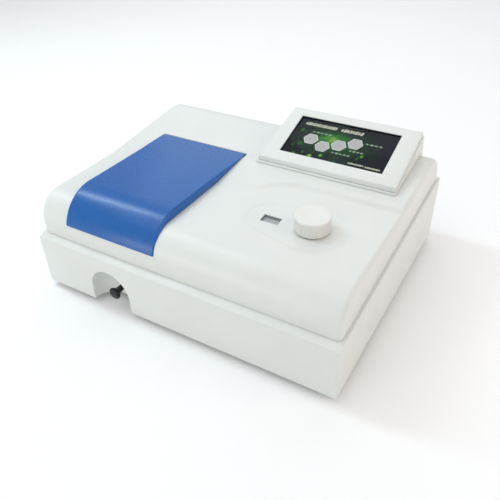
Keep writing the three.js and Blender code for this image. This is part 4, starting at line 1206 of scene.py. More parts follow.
@dataclass(frozen=True)
class ScreenShape:
    """A flat mark on the screen, in shares of the lit area.

    Attributes:
        across: Middle, 0 at the left and 1 at the right.
        up: Middle, 0 at the bottom and 1 at the top.
        width: Width.
        height: Height, as a share of the screen's width.
        sides: 4 for a bar and 6 for a hexagon.
        shade: Which light it shows.
    """

    across: float
    up: float
    width: float
    height: float
    sides: int
    shade: int


SCREEN_FIELD = Finish("display film", "screen_glass", "0a1712", "10241c", 0.3)


def field_material(head: DisplayHead) -> bpy.types.Material:
    """The picture's dark field, as light: green glow left of the middle and small round lights.

    Args:
        head: The display head, which says where the screen is.

    Returns:
        The material.
    """
    made = bpy.data.materials.new("display film, lit field")
    made.use_nodes = True
    tree = made.node_tree
    shader = tree.nodes["Principled BSDF"]
    place = add_node(tree, "ShaderNodeTexCoord").outputs["Object"]
    middle = head.tilt @ Vector((0, head.from_front + head.screen_height / 2, -head.sink - head.glass)) * MM
    centred = add_node(
        tree, "ShaderNodeVectorMath", {0: place, 1: tuple(middle)}, operation="SUBTRACT",
    ).outputs["Vector"]
    level = add_node(
        tree, "ShaderNodeMapping", {"Vector": centred, "Rotation": (-head.angle, 0.0, 0.0)},
    ).outputs[0]
    cloud = add_node(
        tree, "ShaderNodeTexNoise", {"Vector": level, "Scale": 70.0, "Detail": 5.0, "Roughness": 0.65},
    ).outputs["Fac"]
    total = cloud
    # A wide and a narrow glow left of the middle, broken up by leafy shapes a few millimetres across.
    for across, up, reach_x, reach_y, strength in (
        (-12.0, 0.0, 78.0, 46.0, 0.48), (-13.0, 7.0, 34.0, 19.0, 0.3),
    ):
        spot = add_node(
            tree, "ShaderNodeMapping",
            {
                "Vector": level, "Location": (-across / reach_x, -up / reach_y, 0.0),
                "Scale": (1 / (reach_x * MM), 1 / (reach_y * MM), 1.0),
            },
        ).outputs[0]
        ball = add_node(
            tree, "ShaderNodeTexGradient", {"Vector": spot}, gradient_type="SPHERICAL",
        ).outputs["Fac"]
        lit = add_node(tree, "ShaderNodeMath", {0: ball, 1: cloud}, operation="MULTIPLY").outputs[0]
        glow = add_node(tree, "ShaderNodeMath", {0: lit, 1: strength * 1.5}, operation="MULTIPLY").outputs[0]
        total = glow if total is cloud else add_node(tree, "ShaderNodeMath", {0: total, 1: glow}).outputs[0]
    # Soft round lights out of focus, 2 to 5 mm in radius.
    for across, up, radius, strength in (
        (-58.0, -36.0, 5.0, 0.42), (-33.0, -34.0, 5.0, 0.6), (-18.0, -29.0, 4.0, 0.5),
        (-46.0, -30.0, 3.5, 0.3),
        (38.0, -14.0, 4.0, 0.42), (33.0, -20.0, 2.8, 0.3), (-65.0, 14.0, 4.5, 0.28),
        (-58.0, -14.0, 6.0, 0.2),
        (-66.0, -20.0, 4.0, 0.22), (24.0, -30.0, 3.0, 0.25), (4.0, -34.0, 3.0, 0.2), (52.0, 5.0, 3.0, 0.15),
    ):
        away = add_node(
            tree, "ShaderNodeVectorMath", {0: level, 1: (across * MM, up * MM, 0.0)}, operation="DISTANCE",
        ).outputs["Value"]
        disc = add_node(
            tree, "ShaderNodeMapRange",
            {
                "Value": away, "From Min": radius * MM, "From Max": radius * 0.35 * MM, "To Min": 0.0,
                "To Max": strength,
            },
        ).outputs["Result"]
        total = add_node(tree, "ShaderNodeMath", {0: total, 1: disc}).outputs[0]
    ramp = add_node(tree, "ShaderNodeValToRGB", {"Fac": total})
    stops = (
        (0.0, "0d131d"), (0.1, "101f1c"), (0.24, "173f20"), (0.42, "2a7426"), (0.62, "74a046"),
        (0.85, "cfdc9c"),
    )
    elements = ramp.color_ramp.elements
    while len(elements) < len(stops):
        elements.new(0.5)
    for element, (position, code) in zip(elements, stops):
        element.position = position
        element.color = linear(code)
    tree.links.new(ramp.outputs["Color"], shader.inputs["Emission Color"])
    tree.links.new(ramp.outputs["Color"], shader.inputs["Base Color"])
    shader.inputs["Emission Strength"].default_value = 0.8
    shader.inputs["Roughness"].default_value = 0.6
    shader.inputs["Specular IOR Level"].default_value = 0.1
    return made


def menu_marks(head: DisplayHead, depth: float) -> bpy.types.Object:
    """Flat marks on the lit panel: hexagon buttons in a zig-zag, label bars and a title bar.

    Args:
        head: The display head.
        depth: Depth of the marks below the face.

    Returns:
        The marks as one mesh object.
    """
    width, height = head.screen_width, head.screen_height
    buttons = ((0.206, 0.485), (0.350, 0.360), (0.492, 0.470), (0.632, 0.590))
    marks = [ScreenShape(across, up, 0.152, 0.132, 6, 0) for across, up in buttons]
    marks += [ScreenShape(across, up, 0.136, 0.118, 6, 3) for across, up in buttons]
    marks += [ScreenShape(across, up, 0.045, 0.006, 4, 4) for across, up in buttons]
    for first, last, up, tall, count, shade in (
        (
            0.062, 0.39, 0.868, 0.044, 13, 1,
        ), (0.429, 0.651, 0.868, 0.044, 8, 1), (0.174, 0.379, 0.680, 0.020, 5, 2),
        (
            0.712, 0.885, 0.650, 0.020, 4, 2,
        ), (0.602, 0.747, 0.400, 0.020, 4, 2), (0.454, 0.646, 0.270, 0.020, 5, 2),
        (0.654, 0.807, 0.110, 0.022, 7, 1), (0.815, 0.963, 0.100, 0.022, 7, 1),
    ):
        pitch = (last - first) / count
        marks += [
            ScreenShape(
                first + pitch * (i + 0.5), up, pitch * (0.72 if i % 3 else 0.55),
                tall * (1.0 if i % 2 else 0.78), 4, shade,
            )
            for i in range(count)
        ]
    verts: list[Vector] = []
    faces: list[list[int]] = []
    shades: list[int] = []
    for mark in marks:
        cx = (mark.across - 0.5) * width
        cy = head.from_front + mark.up * height
        if mark.sides == 6:
            reach = mark.width / 2 * width
            corners = [
                (reach * math.cos(t), reach * math.sin(t)) for t in (math.pi / 3 * i for i in range(6))
            ]
        else:
            dx, dy = mark.width / 2 * width, mark.height / 2 * width
            corners = [(-dx, -dy), (dx, -dy), (dx + dy * 0.5, dy), (-dx + dy * 0.5, dy)]
        start = len(verts)
        lift = {0: 0.0, 3: 0.03, 4: 0.05}.get(mark.shade, 0.0)
        for z in (depth - 0.05 + lift * 0.5, depth - 0.03 + lift):
            verts += [head.tilt @ Vector((cx + a, cy + b, z)) * MM for a, b in corners]
        count = len(corners)
        faces += [
            [
                start + i, start + (i + 1) % count, start + count + (i + 1) % count, start + count + i,
            ] for i in range(count)
        ]
        faces += [[start + i for i in reversed(range(count))], [start + count + i for i in range(count)]]
        shades += [mark.shade] * (count + 2)
    mesh = bpy.data.meshes.new("menu_marks")
    mesh.from_pydata(verts, [], faces)
    obj = bpy.data.objects.new("menu_marks", mesh)
    bpy.context.scene.collection.objects.link(obj)
    for code, name in (
        ("dfe2df", "display film, button rim"), ("dfe2cd", "display film, title light"),
        ("93ad97", "display film, label light"), ("c2c5c3", "display film, button face"),
        ("c99a9a", "display film, button mark"),
    ):
        mesh.materials.append(light_material(name, code))
    mesh.polygons.foreach_set("material_index", shades)
    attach(obj, "instrument")
    return obj


def light_material(name: str, code: str) -> bpy.types.Material:
    """A plain lit colour with faint unevenness, for a mark on the screen."""
    made = bpy.data.materials.new(name)
    made.use_nodes = True
    tree = made.node_tree
    shader = tree.nodes["Principled BSDF"]
    place = add_node(tree, "ShaderNodeTexCoord").outputs["Object"]
    cloud = add_node(
        tree, "ShaderNodeTexNoise", {"Vector": place, "Scale": 260.0, "Detail": 2.0},
    ).outputs["Fac"]
    ramp = add_node(tree, "ShaderNodeValToRGB", {"Fac": cloud})
    ramp.color_ramp.elements[0].color = [c * 0.75 for c in linear(code)]
    ramp.color_ramp.elements[1].color = linear(code)
    tree.links.new(ramp.outputs["Color"], shader.inputs["Emission Color"])
    tree.links.new(ramp.outputs["Color"], shader.inputs["Base Color"])
    shader.inputs["Emission Strength"].default_value = 0.75
    shader.inputs["Roughness"].default_value = 0.6
    shader.inputs["Specular IOR Level"].default_value = 0.1
    return made


# ------------------------------------------------------------------ sample compartment


@dataclass
class CellChanger:
    """The sample well and the sliding rack that the black pull knob moves."""

    rod_z: float = 31.0
    cell: float = 12.6
    cell_pitch: float = 18.0
    cell_floor: float = 66.0
    window_half: float = 2.0
    first_cell: float = -62.0
    port_z: float = 80.0

    def __post_init__(self) -> None:
        """Find the rod's line."""
        low, high = cad_box("pull_rod")
        self.x = (low.x + high.x) / 2

    def build(self) -> None:
        """Make the well's fittings and the changer."""
        refined("sample_well", ANODISED, 0.8)
        refined("cell_carriage", ALUMINIUM, 0.6)
        refined("rod_bush", BLACK_ABS, 0.4)
        for node, finish in (("rail_left", STEEL), ("rail_right", STEEL), ("pull_rod", STEEL)):
            self.bar(node, finish)
        self.rack()
        self.knob()
        refined("lid_seal", FOAM, 0.7)
        refined("hinge_channel", BLACK_ABS, 0.25)
        refined("hinge_pin_left", BRIGHT_STEEL, 0.2)
        refined("hinge_pin_right", BRIGHT_STEEL, 0.2)

    def bar(self, node: str, finish: Finish) -> None:
        """A ground round bar with chamfered ends in place of a CAD bar along Y."""
        low, high = cad_box(node)
        radius = (high.x - low.x) / 2
        profile = [
            (0, low.y), (radius - 0.5, low.y), (radius, low.y + 0.5), (radius, high.y - 0.5),
            (radius - 0.5, high.y), (0, high.y),
        ]
        bar = revolve(Axis.Y, (low.z + high.z) / 2, (low.x + high.x) / 2, profile, 48)
        bar.piece(node + "_ground", finish, home_of(node), [node])

    def rack(self) -> None:
        """The four-cell rack: square pockets with lead-in chamfers and a light window through each."""
        low, high = cad_box("cell_rack")
        body = block(low, high).rounded(1.0, 3)
        half = self.cell / 2
        # Square outlines of the pocket: half their width and their height.
        rows = ((half, self.cell_floor), (half, high.z - 1.2), (half + 1.3, high.z + 0.1))
        pocket = loft([[(-r, -r, z), (r, -r, z), (r, r, z), (-r, r, z)] for r, z in rows])
        slit = block((-20, -self.window_half, self.port_z - 8), (20, self.window_half, self.port_z + 8))
        start, step = (self.x, self.first_cell, 0), (0, self.cell_pitch, 0)
        body.cut(repeated(pocket, 4, start, step), repeated(slit, 4, start, step))
        body.piece("cell_rack_milled", ANODISED, "changer", ["cell_rack"])

    def knob(self) -> None:
        """The trumpet-shaped pull knob, turned and polished."""
        low, high = cad_box("pull_knob")
        y = low.y
        curve = [
            (0.0, 0.0), (5.5, 0.0), (7.7, 0.35), (8.7, 1.2), (9.0, 2.4), (8.8, 3.4), (8.0, 4.6), (6.7, 6.2),
            (5.6, 8.2),
            (4.9, 10.4), (4.5, 12.6), (4.3, 15.0), (4.3, 20.6), (4.15, 21.3), (3.7, 21.8), (3.4, 22.0),
            (3.4, 6.0), (0.0, 6.0),
        ]
        knob = revolve(Axis.Y, self.rod_z, self.x, [(r, y + h) for r, h in curve], 96)
        knob.piece("pull_knob_turned", PHENOLIC, "changer", ["pull_knob"], 50)


# ------------------------------------------------------------------ wavelength drive


@dataclass
class WavelengthDrive:
    """The ribbed knob, its shaft and the printed dial that shows in the scale window."""

    ribs: int = 60
    rib_top: float = 16.6
    crown: float = 1.7
    dial_z: float = 139.5
    dial_radius: float = 72.0
    scale_radius: float = 61.0
    marks: int = 120
    figures: int = 24

    def __post_init__(self) -> None:
        """Find the knob's axis."""
        self.low, self.high = cad_box("wavelength_knob")
        self.x = (self.low.x + self.high.x) / 2
        self.y = (self.low.y + self.high.y) / 2
        self.radius = (self.high.x - self.low.x) / 2

    def build(self) -> None:
        """Make the knob, the dial and what carries them."""
        self.knob()
        self.dial()
        self.window()
        refined("knob_shaft", STEEL, 0.3)
        refined("shaft_bush", BRASS, 0.2)
        for node in ("drive_pinion", "sector_gear"):
            refined(node, BRASS, 0.12)
        refined("grating_shaft", STEEL, 0.3)
        refined("grating", COATED_GLASS, 0.4)

    def knob(self) -> None:
        """A smooth drum with a rounded crown and fine upright ribs."""
        z0, z1, r = self.low.z, self.high.z, self.radius - 0.75
        crown = arc(self.radius - self.crown, z1 - self.crown, self.crown, 0, math.pi / 2, 8)
        profile = [
            (3.3, z0), (r - 0.8, z0), (r, z0 + 0.8), (r, z0 + self.rib_top + 0.2),
            (self.radius - 0.1, z0 + self.rib_top + 0.7),
        ]
        profile += [
            *crown, (self.radius - 6, z1 + 0.0), (4, z1 - 0.05), (0, z1 - 0.05), (0, z1 - 4.0),
            (3.3, z1 - 4.0),
        ]
        drum = revolve(Axis.Z, self.x, self.y, [*profile, (3.3, z0)], 180)
        width = 0.56
        section = [
            (r - 0.5, -width), (r + 0.15, -width), (r + 0.55, -width * 0.62), (r + 0.7, -width * 0.2),
            (r + 0.7, width * 0.2),
            (r + 0.55, width * 0.62), (r + 0.15, width), (r - 0.5, width),
        ]
        rib = prism(Axis.Z, section, z0 + 0.9, z0 + self.rib_top + 0.4)
        ribs = repeated(rib, self.ribs, (self.x, self.y, 0), turn=(0, 0, 2 * math.pi / self.ribs))
        gather(drum, ribs).piece(
            "wavelength_knob_ribbed", KNOB_ABS, "wavelength_drive", ["wavelength_knob"], 40,
        )

    def dial(self) -> None:
        """The lacquered disc with its printed scale."""
        z, r = self.dial_z, self.dial_radius
        disc = [
            (3.3, z - 8), (7.6, z - 8), (8, z - 7.6), (8, z - 1.5), (r - 0.3, z - 1.5), (r, z - 1.2),
            (r, z - 0.3), (r - 0.3, z),
            (3.3, z), (3.3, z - 8),
        ]
        revolve(Axis.Z, self.x, self.y, disc, 180).piece(
            "dial_disc", DIAL_WHITE, "wavelength_drive", ["wavelength_dial"],
        )
        top = z + 0.06
        centre = (self.x, self.y, 0)
        scale = self.scale_radius
        fine = repeated(
            block(
                (scale - 3.5, -0.14, z - 0.02), (scale, 0.14, top),
            ), self.marks, centre, turn=(0, 0, 2 * math.pi / self.marks),
        )
        bold = repeated(
            block((scale - 6.5, -0.28, z - 0.02), (scale, 0.28, top)), self.figures, centre,
            turn=(0, 0, 2 * math.pi / self.figures),
        )
        line = revolve(
            Axis.Z, self.x, self.y,
            [(scale, z), (scale + 0.4, z), (scale + 0.4, top), (scale, top), (scale, z)], 180,
        )
        figures = []
        for i in range(self.figures):
            turn = 2 * math.pi * i / self.figures
            place = Matrix.Translation((self.x, self.y, z + 0.03)) @ Matrix.Rotation(turn, 4, "Z")
            figures.append(
                numeral(
                    str(200 + 30 * i), 3.2,
                    place @ Matrix.Translation((scale - 9.6, 0, 0)) @ Matrix.Rotation(-math.pi / 2, 4, "Z"),
                ),
            )
        gather(fine, bold, line, *figures).piece("dial_scale", DIAL_INK, "wavelength_drive")

    def window(self) -> None:
        """The clear pane under the scale window."""
        low, high = cad_box("scale_window")
        block(low, high).rounded(0.4, 2).piece("scale_pane", CLEAR_PANE, "instrument", ["scale_window"])


# ------------------------------------------------------------------ back of the instrument


@dataclass
class RearPanel:
    """Everything that sits in the recessed connector panel."""

    fan_bore: float = 27.5
    fan_hub: float = 12.0
    blades: int = 7
    blade_tip: float = 26.0
    rings: int = 5
    wire: float = 0.8
    fins: int = 12
    fin: float = 2.4

    def build(self) -> None:
        """Make the fan, its guard, the heat sink, the connectors and the switch."""
        low, high = cad_box("fan_frame")
        self.x, self.z = (low.x + high.x) / 2, (low.z + high.z) / 2
        self.fan(low, high)
        self.rotor()
        self.guard()
        self.heat_sink()
        self.inlet()
        self.switch()
        self.fuse()
        self.ports()

    def fan(self, low: Vector, high: Vector) -> None:
        """Square frame with a round bore, corner bolt holes, a hub and three struts."""
        half = (high.x - low.x) / 2
        outline = []
        for sx, sz, start in ((1, 1, 0), (1, -1, 1), (-1, -1, 2), (-1, 1, 3)):
            centre = (self.z + sx * (half - 5), self.x + sz * (half - 5))
            turn = {(1, 1): 0, (1, -1): -math.pi / 2, (-1, -1): -math.pi, (-1, 1): -1.5 * math.pi}[(sx, sz)]
            outline += arc(*centre, 5, turn + math.pi / 2, turn, 6)
        shell = prism(Axis.Y, outline, low.y, high.y)
        shell.cut(rod(Axis.Y, self.z, self.x, low.y - 1, high.y + 1, self.fan_bore, 96))
        for sx in (-1, 1):
            for sz in (-1, 1):
                shell.cut(rod(Axis.Y, self.z + sz * 25, self.x + sx * 25, low.y - 1, high.y + 1, 2.1, 24))
        shell.rounded(0.5, 2, 40)
        strut = block((-1.5, 0, self.fan_hub - 3), (1.5, 1.9, self.fan_bore + 1)).rounded(0.4, 2)
        hub = rod(Axis.Y, self.z, self.x, low.y, low.y + 2, self.fan_hub, 64).rounded(0.3, 2)
        struts = repeated(strut, 3, (self.x, low.y + 0.02, self.z), turn=(0, 2 * math.pi / 3, 0))
        gather(shell, hub, struts).piece("fan_frame_moulded", BLACK_ABS, "instrument", ["fan_frame"])

    def rotor(self) -> None:
        """A domed hub with swept, twisted blades."""
        low, high = cad_box("fan_rotor")
        hub = revolve(Axis.Y, self.z, self.x, [
            (0, low.y), (self.fan_hub - 0.6, low.y), (self.fan_hub, low.y + 0.6), (
                self.fan_hub, high.y - 1.6,
            ),
            (self.fan_hub - 0.5, high.y - 0.5), (self.fan_hub - 1.6, high.y), (0, high.y),
        ], 64)
        rows = []
        middle = (low.y + high.y) / 2
        for i in range(9):
            share = i / 8
            radius = self.fan_hub - 1.0 + (self.blade_tip - self.fan_hub + 1.0) * share
            pitch = math.radians(46 - 18 * share)
            sweep = math.radians(12) * share * share
            chord = 9.0 + 5.0 * share
            row = []
            for side, order in ((0.6, range(7)), (-0.6, reversed(range(7)))):
                for j in order:
                    u = j / 6 - 0.5
                    thick = side * (1 - 0.55 * abs(2 * u))
                    bow = 0.9 * (1 - 4 * u * u)
                    across = chord * u
                    run = across * math.cos(pitch) - (thick + bow) * math.sin(pitch)
                    rise = across * math.sin(pitch) + (thick + bow) * math.cos(pitch)
                    angle = sweep + run / radius
                    rise = min(max(rise, low.y - middle), high.y - middle)
                    row.append((radius * math.sin(angle), middle + rise, radius * math.cos(angle)))
            rows.append(row)
        blade = loft(rows)
        blades = repeated(blade, self.blades, (self.x, 0, self.z), turn=(0, 2 * math.pi / self.blades, 0))
        gather(hub, blades).piece("fan_rotor_moulded", BLACK_ABS, "rotor", ["fan_rotor"], 50)

    def guard(self) -> None:
        """Chromed wire rings on two crossed wires."""
        low, high = cad_box("fan_guard")
        y = high.y - self.wire
        outer = (high.x - low.x) / 2 - self.wire
        inner = 7.0
        rings = node_result(guard_tree(), {
            "Rings": self.rings, "Inner": inner, "Pitch": (outer - inner) / (self.rings - 1),
            "Wire": self.wire,
            "Centre": (self.x, y, self.z), "Finish": BRIGHT_STEEL.material(),
        })
        spoke = rod(Axis.Z, 0, low.y + self.wire * 0.6 - y, -outer, outer, self.wire * 0.6, 16)
        spoke.turned(Matrix.Rotation(math.radians(45), 4, "Y"))
        spokes = repeated(spoke, 2, (self.x, y, self.z), turn=(0, math.pi / 2, 0))
        gather(rings, spokes).piece("fan_guard_wire", BRIGHT_STEEL, "instrument", ["fan_guard"])

    def heat_sink(self) -> None:
        """An extruded heat sink: a plate with straight, rounded fins."""
        low, high = cad_box("heat_sink")
        width = high.x - low.x
        plate = block(low, (high.x, low.y + 5, high.z)).rounded(0.4, 2)
        fin = block((0, low.y + 4.9, low.z), (self.fin, high.y, high.z)).rounded(0.6, 3)
        pitch = (width - self.fin) / (self.fins - 1)
        fins = repeated(fin, self.fins, (low.x, 0, 0), (pitch, 0, 0))
        gather(plate, fins).piece("heat_sink_extruded", ANODISED, "instrument", ["heat_sink"])

    def inlet(self) -> None:
        """Mains inlet: flanged body, socket with two clipped corners, and three blades."""
        low, high = cad_box("mains_inlet")
        x, z = (low.x + high.x) / 2, (low.z + high.z) / 2
        flange_y = high.y - 2.7
        flange = block((low.x, flange_y, low.z), high).rounded(1.0, 3)
        body = block((low.x + 4, low.y, low.z + 4), (high.x - 4, flange_y + 0.5, high.z - 4)).rounded(0.6, 2)
        w, h = (high.x - low.x) / 2 - 6.2, (high.z - low.z) / 2 - 6.2
        mouth = [
            (z - h, x - w), (z - h, x + w), (z + h - 4, x + w), (z + h, x + w - 4), (z + h, x - w + 4),
            (z + h - 4, x - w),
        ]
        flange.join(body).cut(prism(Axis.Y, mouth, low.y + 3, high.y + 1))
        flange.rounded(0.35, 2, 50).piece("mains_inlet_moulded", BLACK_ABS, "instrument", ["mains_inlet"])
        blades = [
            block(
                (x + dx - 1, low.y + 2.5, z + dz - 2), (x + dx + 1, low.y + 13.9, z + dz + 2),
            ).rounded(0.5, 2)
            for dx, dz in ((-7, -1), (0, 3), (7, -1))
        ]
        gather(*blades).piece("mains_inlet_blades", BRIGHT_STEEL, "instrument")

    def switch(self) -> None:
        """Switch frame and rocker, each remade with softened corners."""
        refined("switch_frame", BLACK_ABS, 0.5)
        refined("switch_rocker", PHENOLIC, 0.5)

    def fuse(self) -> None:
        """Screw-in fuse carrier with a coin slot and a knurled rim."""
        low, high = cad_box("fuse_holder")
        x, z = (low.x + high.x) / 2, (low.z + high.z) / 2
        r, end = (high.x - low.x) / 2, high.y
        cap = revolve(Axis.Y, z, x, [
            (0, low.y), (4.6, low.y), (5, low.y + 0.5), (5.8, low.y + 6), (5.8, end - 5.2), (r, end - 5.2),
            (r, end - 4.1),
            (r - 0.5, end - 3.5), (7, end - 3.5), (6.5, end - 0.8), (5.8, end), (0, end),
        ], 72)
        cap.cut(block((x - 4.5, end - 1.4, z - 0.6), (x + 4.5, end + 1, z + 0.6)))
        ridge = rod(Axis.Y, 6.75, 0, end - 3.4, end - 0.7, 0.32, 8)
        ridges = repeated(ridge, 24, (x, 0, z), turn=(0, 2 * math.pi / 24, 0))
        gather(cap, ridges).piece("fuse_carrier", BLACK_ABS, "instrument", ["fuse_holder"])

    def ports(self) -> None:
        """The serial port's shell with nine pins, and the square data port."""
        refined("serial_port", BRIGHT_STEEL, 0.3)
        low, high = cad_box("serial_port")
        x, z, y = (low.x + high.x) / 2, (low.z + high.z) / 2, high.y
        insert = block((x - 7.6, y - 7.5, z - 2.9), (x + 7.6, y - 6.2, z + 2.9)).rounded(0.8, 2)
        insert.piece("serial_insert", BLACK_ABS, "instrument")
        upper = repeated(
            rod(Axis.Y, 0, 0, y - 6.3, y - 1.5, 0.5, 16).rounded(0.2, 2), 5, (x - 5.5, 0, z + 1.4),
            (2.75, 0, 0),
        )
        lower = repeated(
            rod(Axis.Y, 0, 0, y - 6.3, y - 1.5, 0.5, 16).rounded(0.2, 2), 4, (x - 4.1, 0, z - 1.4),
            (2.75, 0, 0),
        )
        gather(upper, lower).piece("serial_pins", BRASS, "instrument")
        refined("usb_port", BRIGHT_STEEL, 0.3)


# ------------------------------------------------------------------ inside and small fittings


@dataclass
class InnerWorks:
    """The optics, the lamp and the boards that the shells close in."""

    board_top: float = 18.9

    def build(self) -> None:
        """Finish every inner node."""
        finishes = {
            "monochromator_case": ANODISED, "monochromator_lid": ANODISED,
            "collimating_mirror": COATED_GLASS,
            "exit_slit": STEEL, "entrance_slit": STEEL, "condenser_lens": QUARTZ, "lamp_housing": ALUMINIUM,
            "lamp_socket": CERAMIC, "halogen_lamp": QUARTZ, "detector_housing": ANODISED,
            "photodiode": STEEL,
            "lcd_module": ALUMINIUM,
        }
        for node, finish in finishes.items():
            refined(node, finish, 0.35)
        for node in ("main_board", "power_supply"):
            board = refined(node, SOLDER_MASK, 0.25)
            board.data.materials[0] = self.board_material(node)

    def board_material(self, node: str) -> bpy.types.Material:
        """Green laminate below a height, and dark or tinned parts above it.

        Args:
            node: The board.

        Returns:
            The material.
        """
        made = bpy.data.materials.new("populated board, " + node.replace("_", " "))
        made.use_nodes = True
        tree = made.node_tree
        shader = tree.nodes["Principled BSDF"]
        place = add_node(tree, "ShaderNodeTexCoord").outputs["Object"]
        height = add_node(tree, "ShaderNodeSeparateXYZ", {0: place}).outputs["Z"]
        above = add_node(
            tree, "ShaderNodeMapRange",
            {
                "Value": height, "From Min": (self.board_top - 0.05) * MM,
                "From Max": (self.board_top + 0.05) * MM,
            },
        ).outputs["Result"]
        # Blocks of copper and tracks, drawn in 4 mm cells so that they show.
        tracks = add_node(
            tree, "ShaderNodeTexVoronoi", {"Vector": place, "Scale": 1 / (4 * MM)}, distance="MANHATTAN",
        )
        laminate = colour_mix(tree, tracks.outputs["Distance"], "2b8247", "16492a")
        snapped = add_node(
            tree, "ShaderNodeVectorMath", {0: place, 1: (0.021, 0.021, 0.1)}, operation="SNAP",
        ).outputs[0]
        parts = add_node(tree, "ShaderNodeTexWhiteNoise", {"Vector": snapped})
        dark = colour_mix(tree, parts.outputs["Value"], "17181a", "5a5f63")
        mixed = add_node(tree, "ShaderNodeMix", data_type="RGBA")
        tree.links.new(above, mixed.inputs[0])
        tree.links.new(laminate, mixed.inputs[6])
        tree.links.new(dark, mixed.inputs[7])
        tree.links.new(mixed.outputs[2], shader.inputs["Base Color"])
        shader.inputs["Roughness"].default_value = 0.42
        return made


@dataclass
class Fittings:
    """Rubber feet and the two screws that hold the cover."""

    ridges: int = 36

    def build(self) -> None:
        """Make the feet and the screws."""
        for place in ("front_left", "front_right", "back_left", "back_right"):
            self.foot("foot_" + place)
        for side in ("left", "right"):
            self.screw("cover_screw_" + side)

    def foot(self, node: str) -> None:
        """A moulded foot with a ridged skirt and a snap-in stem."""
        low, high = cad_box(node)
        x, y, r = (low.x + high.x) / 2, (low.y + high.y) / 2, (high.x - low.x) / 2
        puck = revolve(Axis.Z, x, y, [
            (0, 0.6), (6, 0.6), (6.6, 0), (r - 1.8, 0), (r - 0.6, 0.5), (r - 0.25, 1.6), (r - 1.1, 7.0),
            (r - 1.5, 7.7),
            (3.2, 7.7), (3.2, 11.3), (5.6, 11.3), (5.4, 12.0), (3.4, high.z - 0.4), (3.0, high.z),
            (0, high.z),
        ], 72)
        ridge = prism(
            Axis.Z, [(r - 1.4, -0.35), (r - 0.35, -0.3), (r - 0.1, 0), (r - 0.35, 0.3), (r - 1.4, 0.35)],
            1.2, 6.6,
        )
        ridges = repeated(ridge, self.ridges, (x, y, 0), turn=(0, 0, 2 * math.pi / self.ridges))
        gather(puck, ridges).piece(node + "_moulded", RUBBER, "instrument", [node])

    def screw(self, node: str) -> None:
        """A domed screw with a cross recess and a fine thread."""
        low, high = cad_box(node)
        x, z = (low.x + high.x) / 2, (low.z + high.z) / 2
        r, end = (high.x - low.x) / 2, high.y
        thread = [
            (2.0 - 0.22 * (i % 2), low.y + 1.0 + i * 0.25) for i in range(int((end - low.y - 4.0) / 0.25))
        ]
        head = [
            (2.0, end - 2.2), (r, end - 2.2), (r, end - 1.5), (r - 0.5, end - 0.7), (r - 1.4, end - 0.2),
            (0, end),
        ]
        screw = revolve(Axis.Y, z, x, [(0, low.y), (1.6, low.y + 0.6), *thread, *head], 40)
        for turn in (0.0, math.pi / 2):
            arm = block((-1.9, end - 1.3, -0.4), (1.9, end + 1, 0.4))
            screw.cut(arm.turned(Matrix.Translation((x, 0, z)) @ Matrix.Rotation(turn, 4, "Y")))
        screw.piece(node + "_machined", BRIGHT_STEEL, "instrument", [node])


# ------------------------------------------------------------------ stage


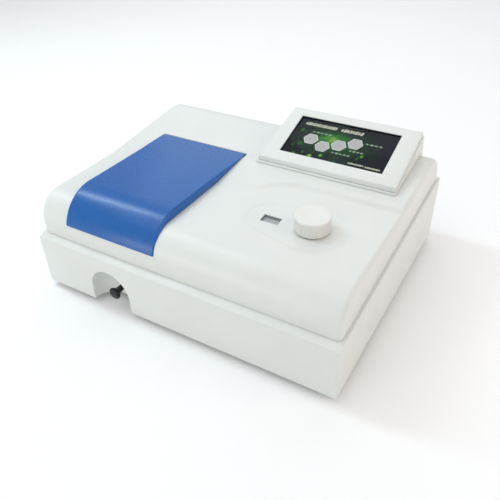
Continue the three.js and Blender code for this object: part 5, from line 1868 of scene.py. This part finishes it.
@dataclass
class Studio:
    """Camera, floor and lights."""

    location: tuple[float, float, float] = (0.3669, -0.6002, 0.5432)
    azimuth: float = math.radians(31.136)
    elevation: float = math.radians(36.668)
    roll: float = math.radians(-1.671)
    lens: float = 40.665

    def build(self) -> None:
        """Place everything that isn't part of the object."""
        scene = bpy.context.scene
        scene.view_settings.view_transform = "Standard"
        back = Vector((
            math.sin(self.azimuth) * math.cos(self.elevation),
            -math.cos(self.azimuth) * math.cos(self.elevation),
            math.sin(self.elevation),
        ))
        right = Vector((math.cos(self.azimuth), math.sin(self.azimuth), 0))
        up = back.cross(right)
        across = right * math.cos(self.roll) + up * math.sin(self.roll)
        upward = up * math.cos(self.roll) - right * math.sin(self.roll)
        camera = bpy.data.objects.new("camera", bpy.data.cameras.new("camera"))
        scene.collection.objects.link(camera)
        camera.data.lens = self.lens
        camera.data.sensor_width = 36
        facing = Matrix((across, upward, back)).transposed().to_4x4()
        camera.matrix_world = Matrix.Translation(self.location) @ facing
        scene.camera = camera
        self.floor()
        self.light("key", (-0.7, -0.6, 2.3), (2.0, 2.0), 12, "ffffff")
        self.light("back", (-0.5, 1.5, 1.6), (2.0, 2.0), 10, "f6faff")
        self.light("front", (-0.3, -2.2, 0.7), (1.6, 1.6), 3.5, "f4fbf4")
        self.light("fill", (-0.7, -1.5, 0.2), (0.6, 0.4), 3.0, "fbf8f4")
        self.light("side", (1.9, 0.1, 1.0), (1.4, 1.4), 12, "ffe6d8")
        self.light("strip", (-1.09, -0.1, 1.41), (0.2, 0.8), 7.2, "e2f6ff")
        world = bpy.data.worlds.new("studio")
        world.use_nodes = True
        world.node_tree.nodes["Background"].inputs["Color"].default_value = linear("f3f6f8")
        world.node_tree.nodes["Background"].inputs["Strength"].default_value = 0.6
        scene.world = world

    def floor(self) -> None:
        """A plain pale floor."""
        mesh = bpy.data.meshes.new("floor")
        mesh.from_pydata([(-6, -6, 0), (6, -6, 0), (6, 6, 0), (-6, 6, 0)], [], [(0, 1, 2, 3)])
        obj = bpy.data.objects.new("floor", mesh)
        bpy.context.scene.collection.objects.link(obj)
        mesh.materials.append(
            Finish("paper backdrop", "white_abs", "fbfbfb", "f9f9f9", 0.9, relief_mm=0.001).material(),
        )

    def light(self, name: str, place: Point, size: tuple[float, float], power: float, code: str) -> None:
        """Add a soft light that faces the object; its size is across and up, as seen from the object."""
        data = bpy.data.lights.new(name, "AREA")
        data.shape = "RECTANGLE"
        data.size, data.size_y = size
        data.energy = power
        data.color = linear(code)[:3]
        obj = bpy.data.objects.new(name, data)
        obj.location = place
        obj.rotation_euler = (Vector(place) - Vector((0, 0, 0.1))).to_track_quat("Z", "Y").to_euler()
        bpy.context.scene.collection.objects.link(obj)


def main() -> None:
    """Build every sub-assembly in order."""
    logging.basicConfig(level=logging.INFO, format="%(message)s")
    Studio().build()
    case = Case()
    TopCover(case).build()
    BaseTray(case).build()
    SampleLid(case).build()
    DisplayHead(case).build()
    WavelengthDrive().build()
    CellChanger().build()
    RearPanel().build()
    InnerWorks().build()
    Fittings().build()


if __name__ == "__main__":
    main()
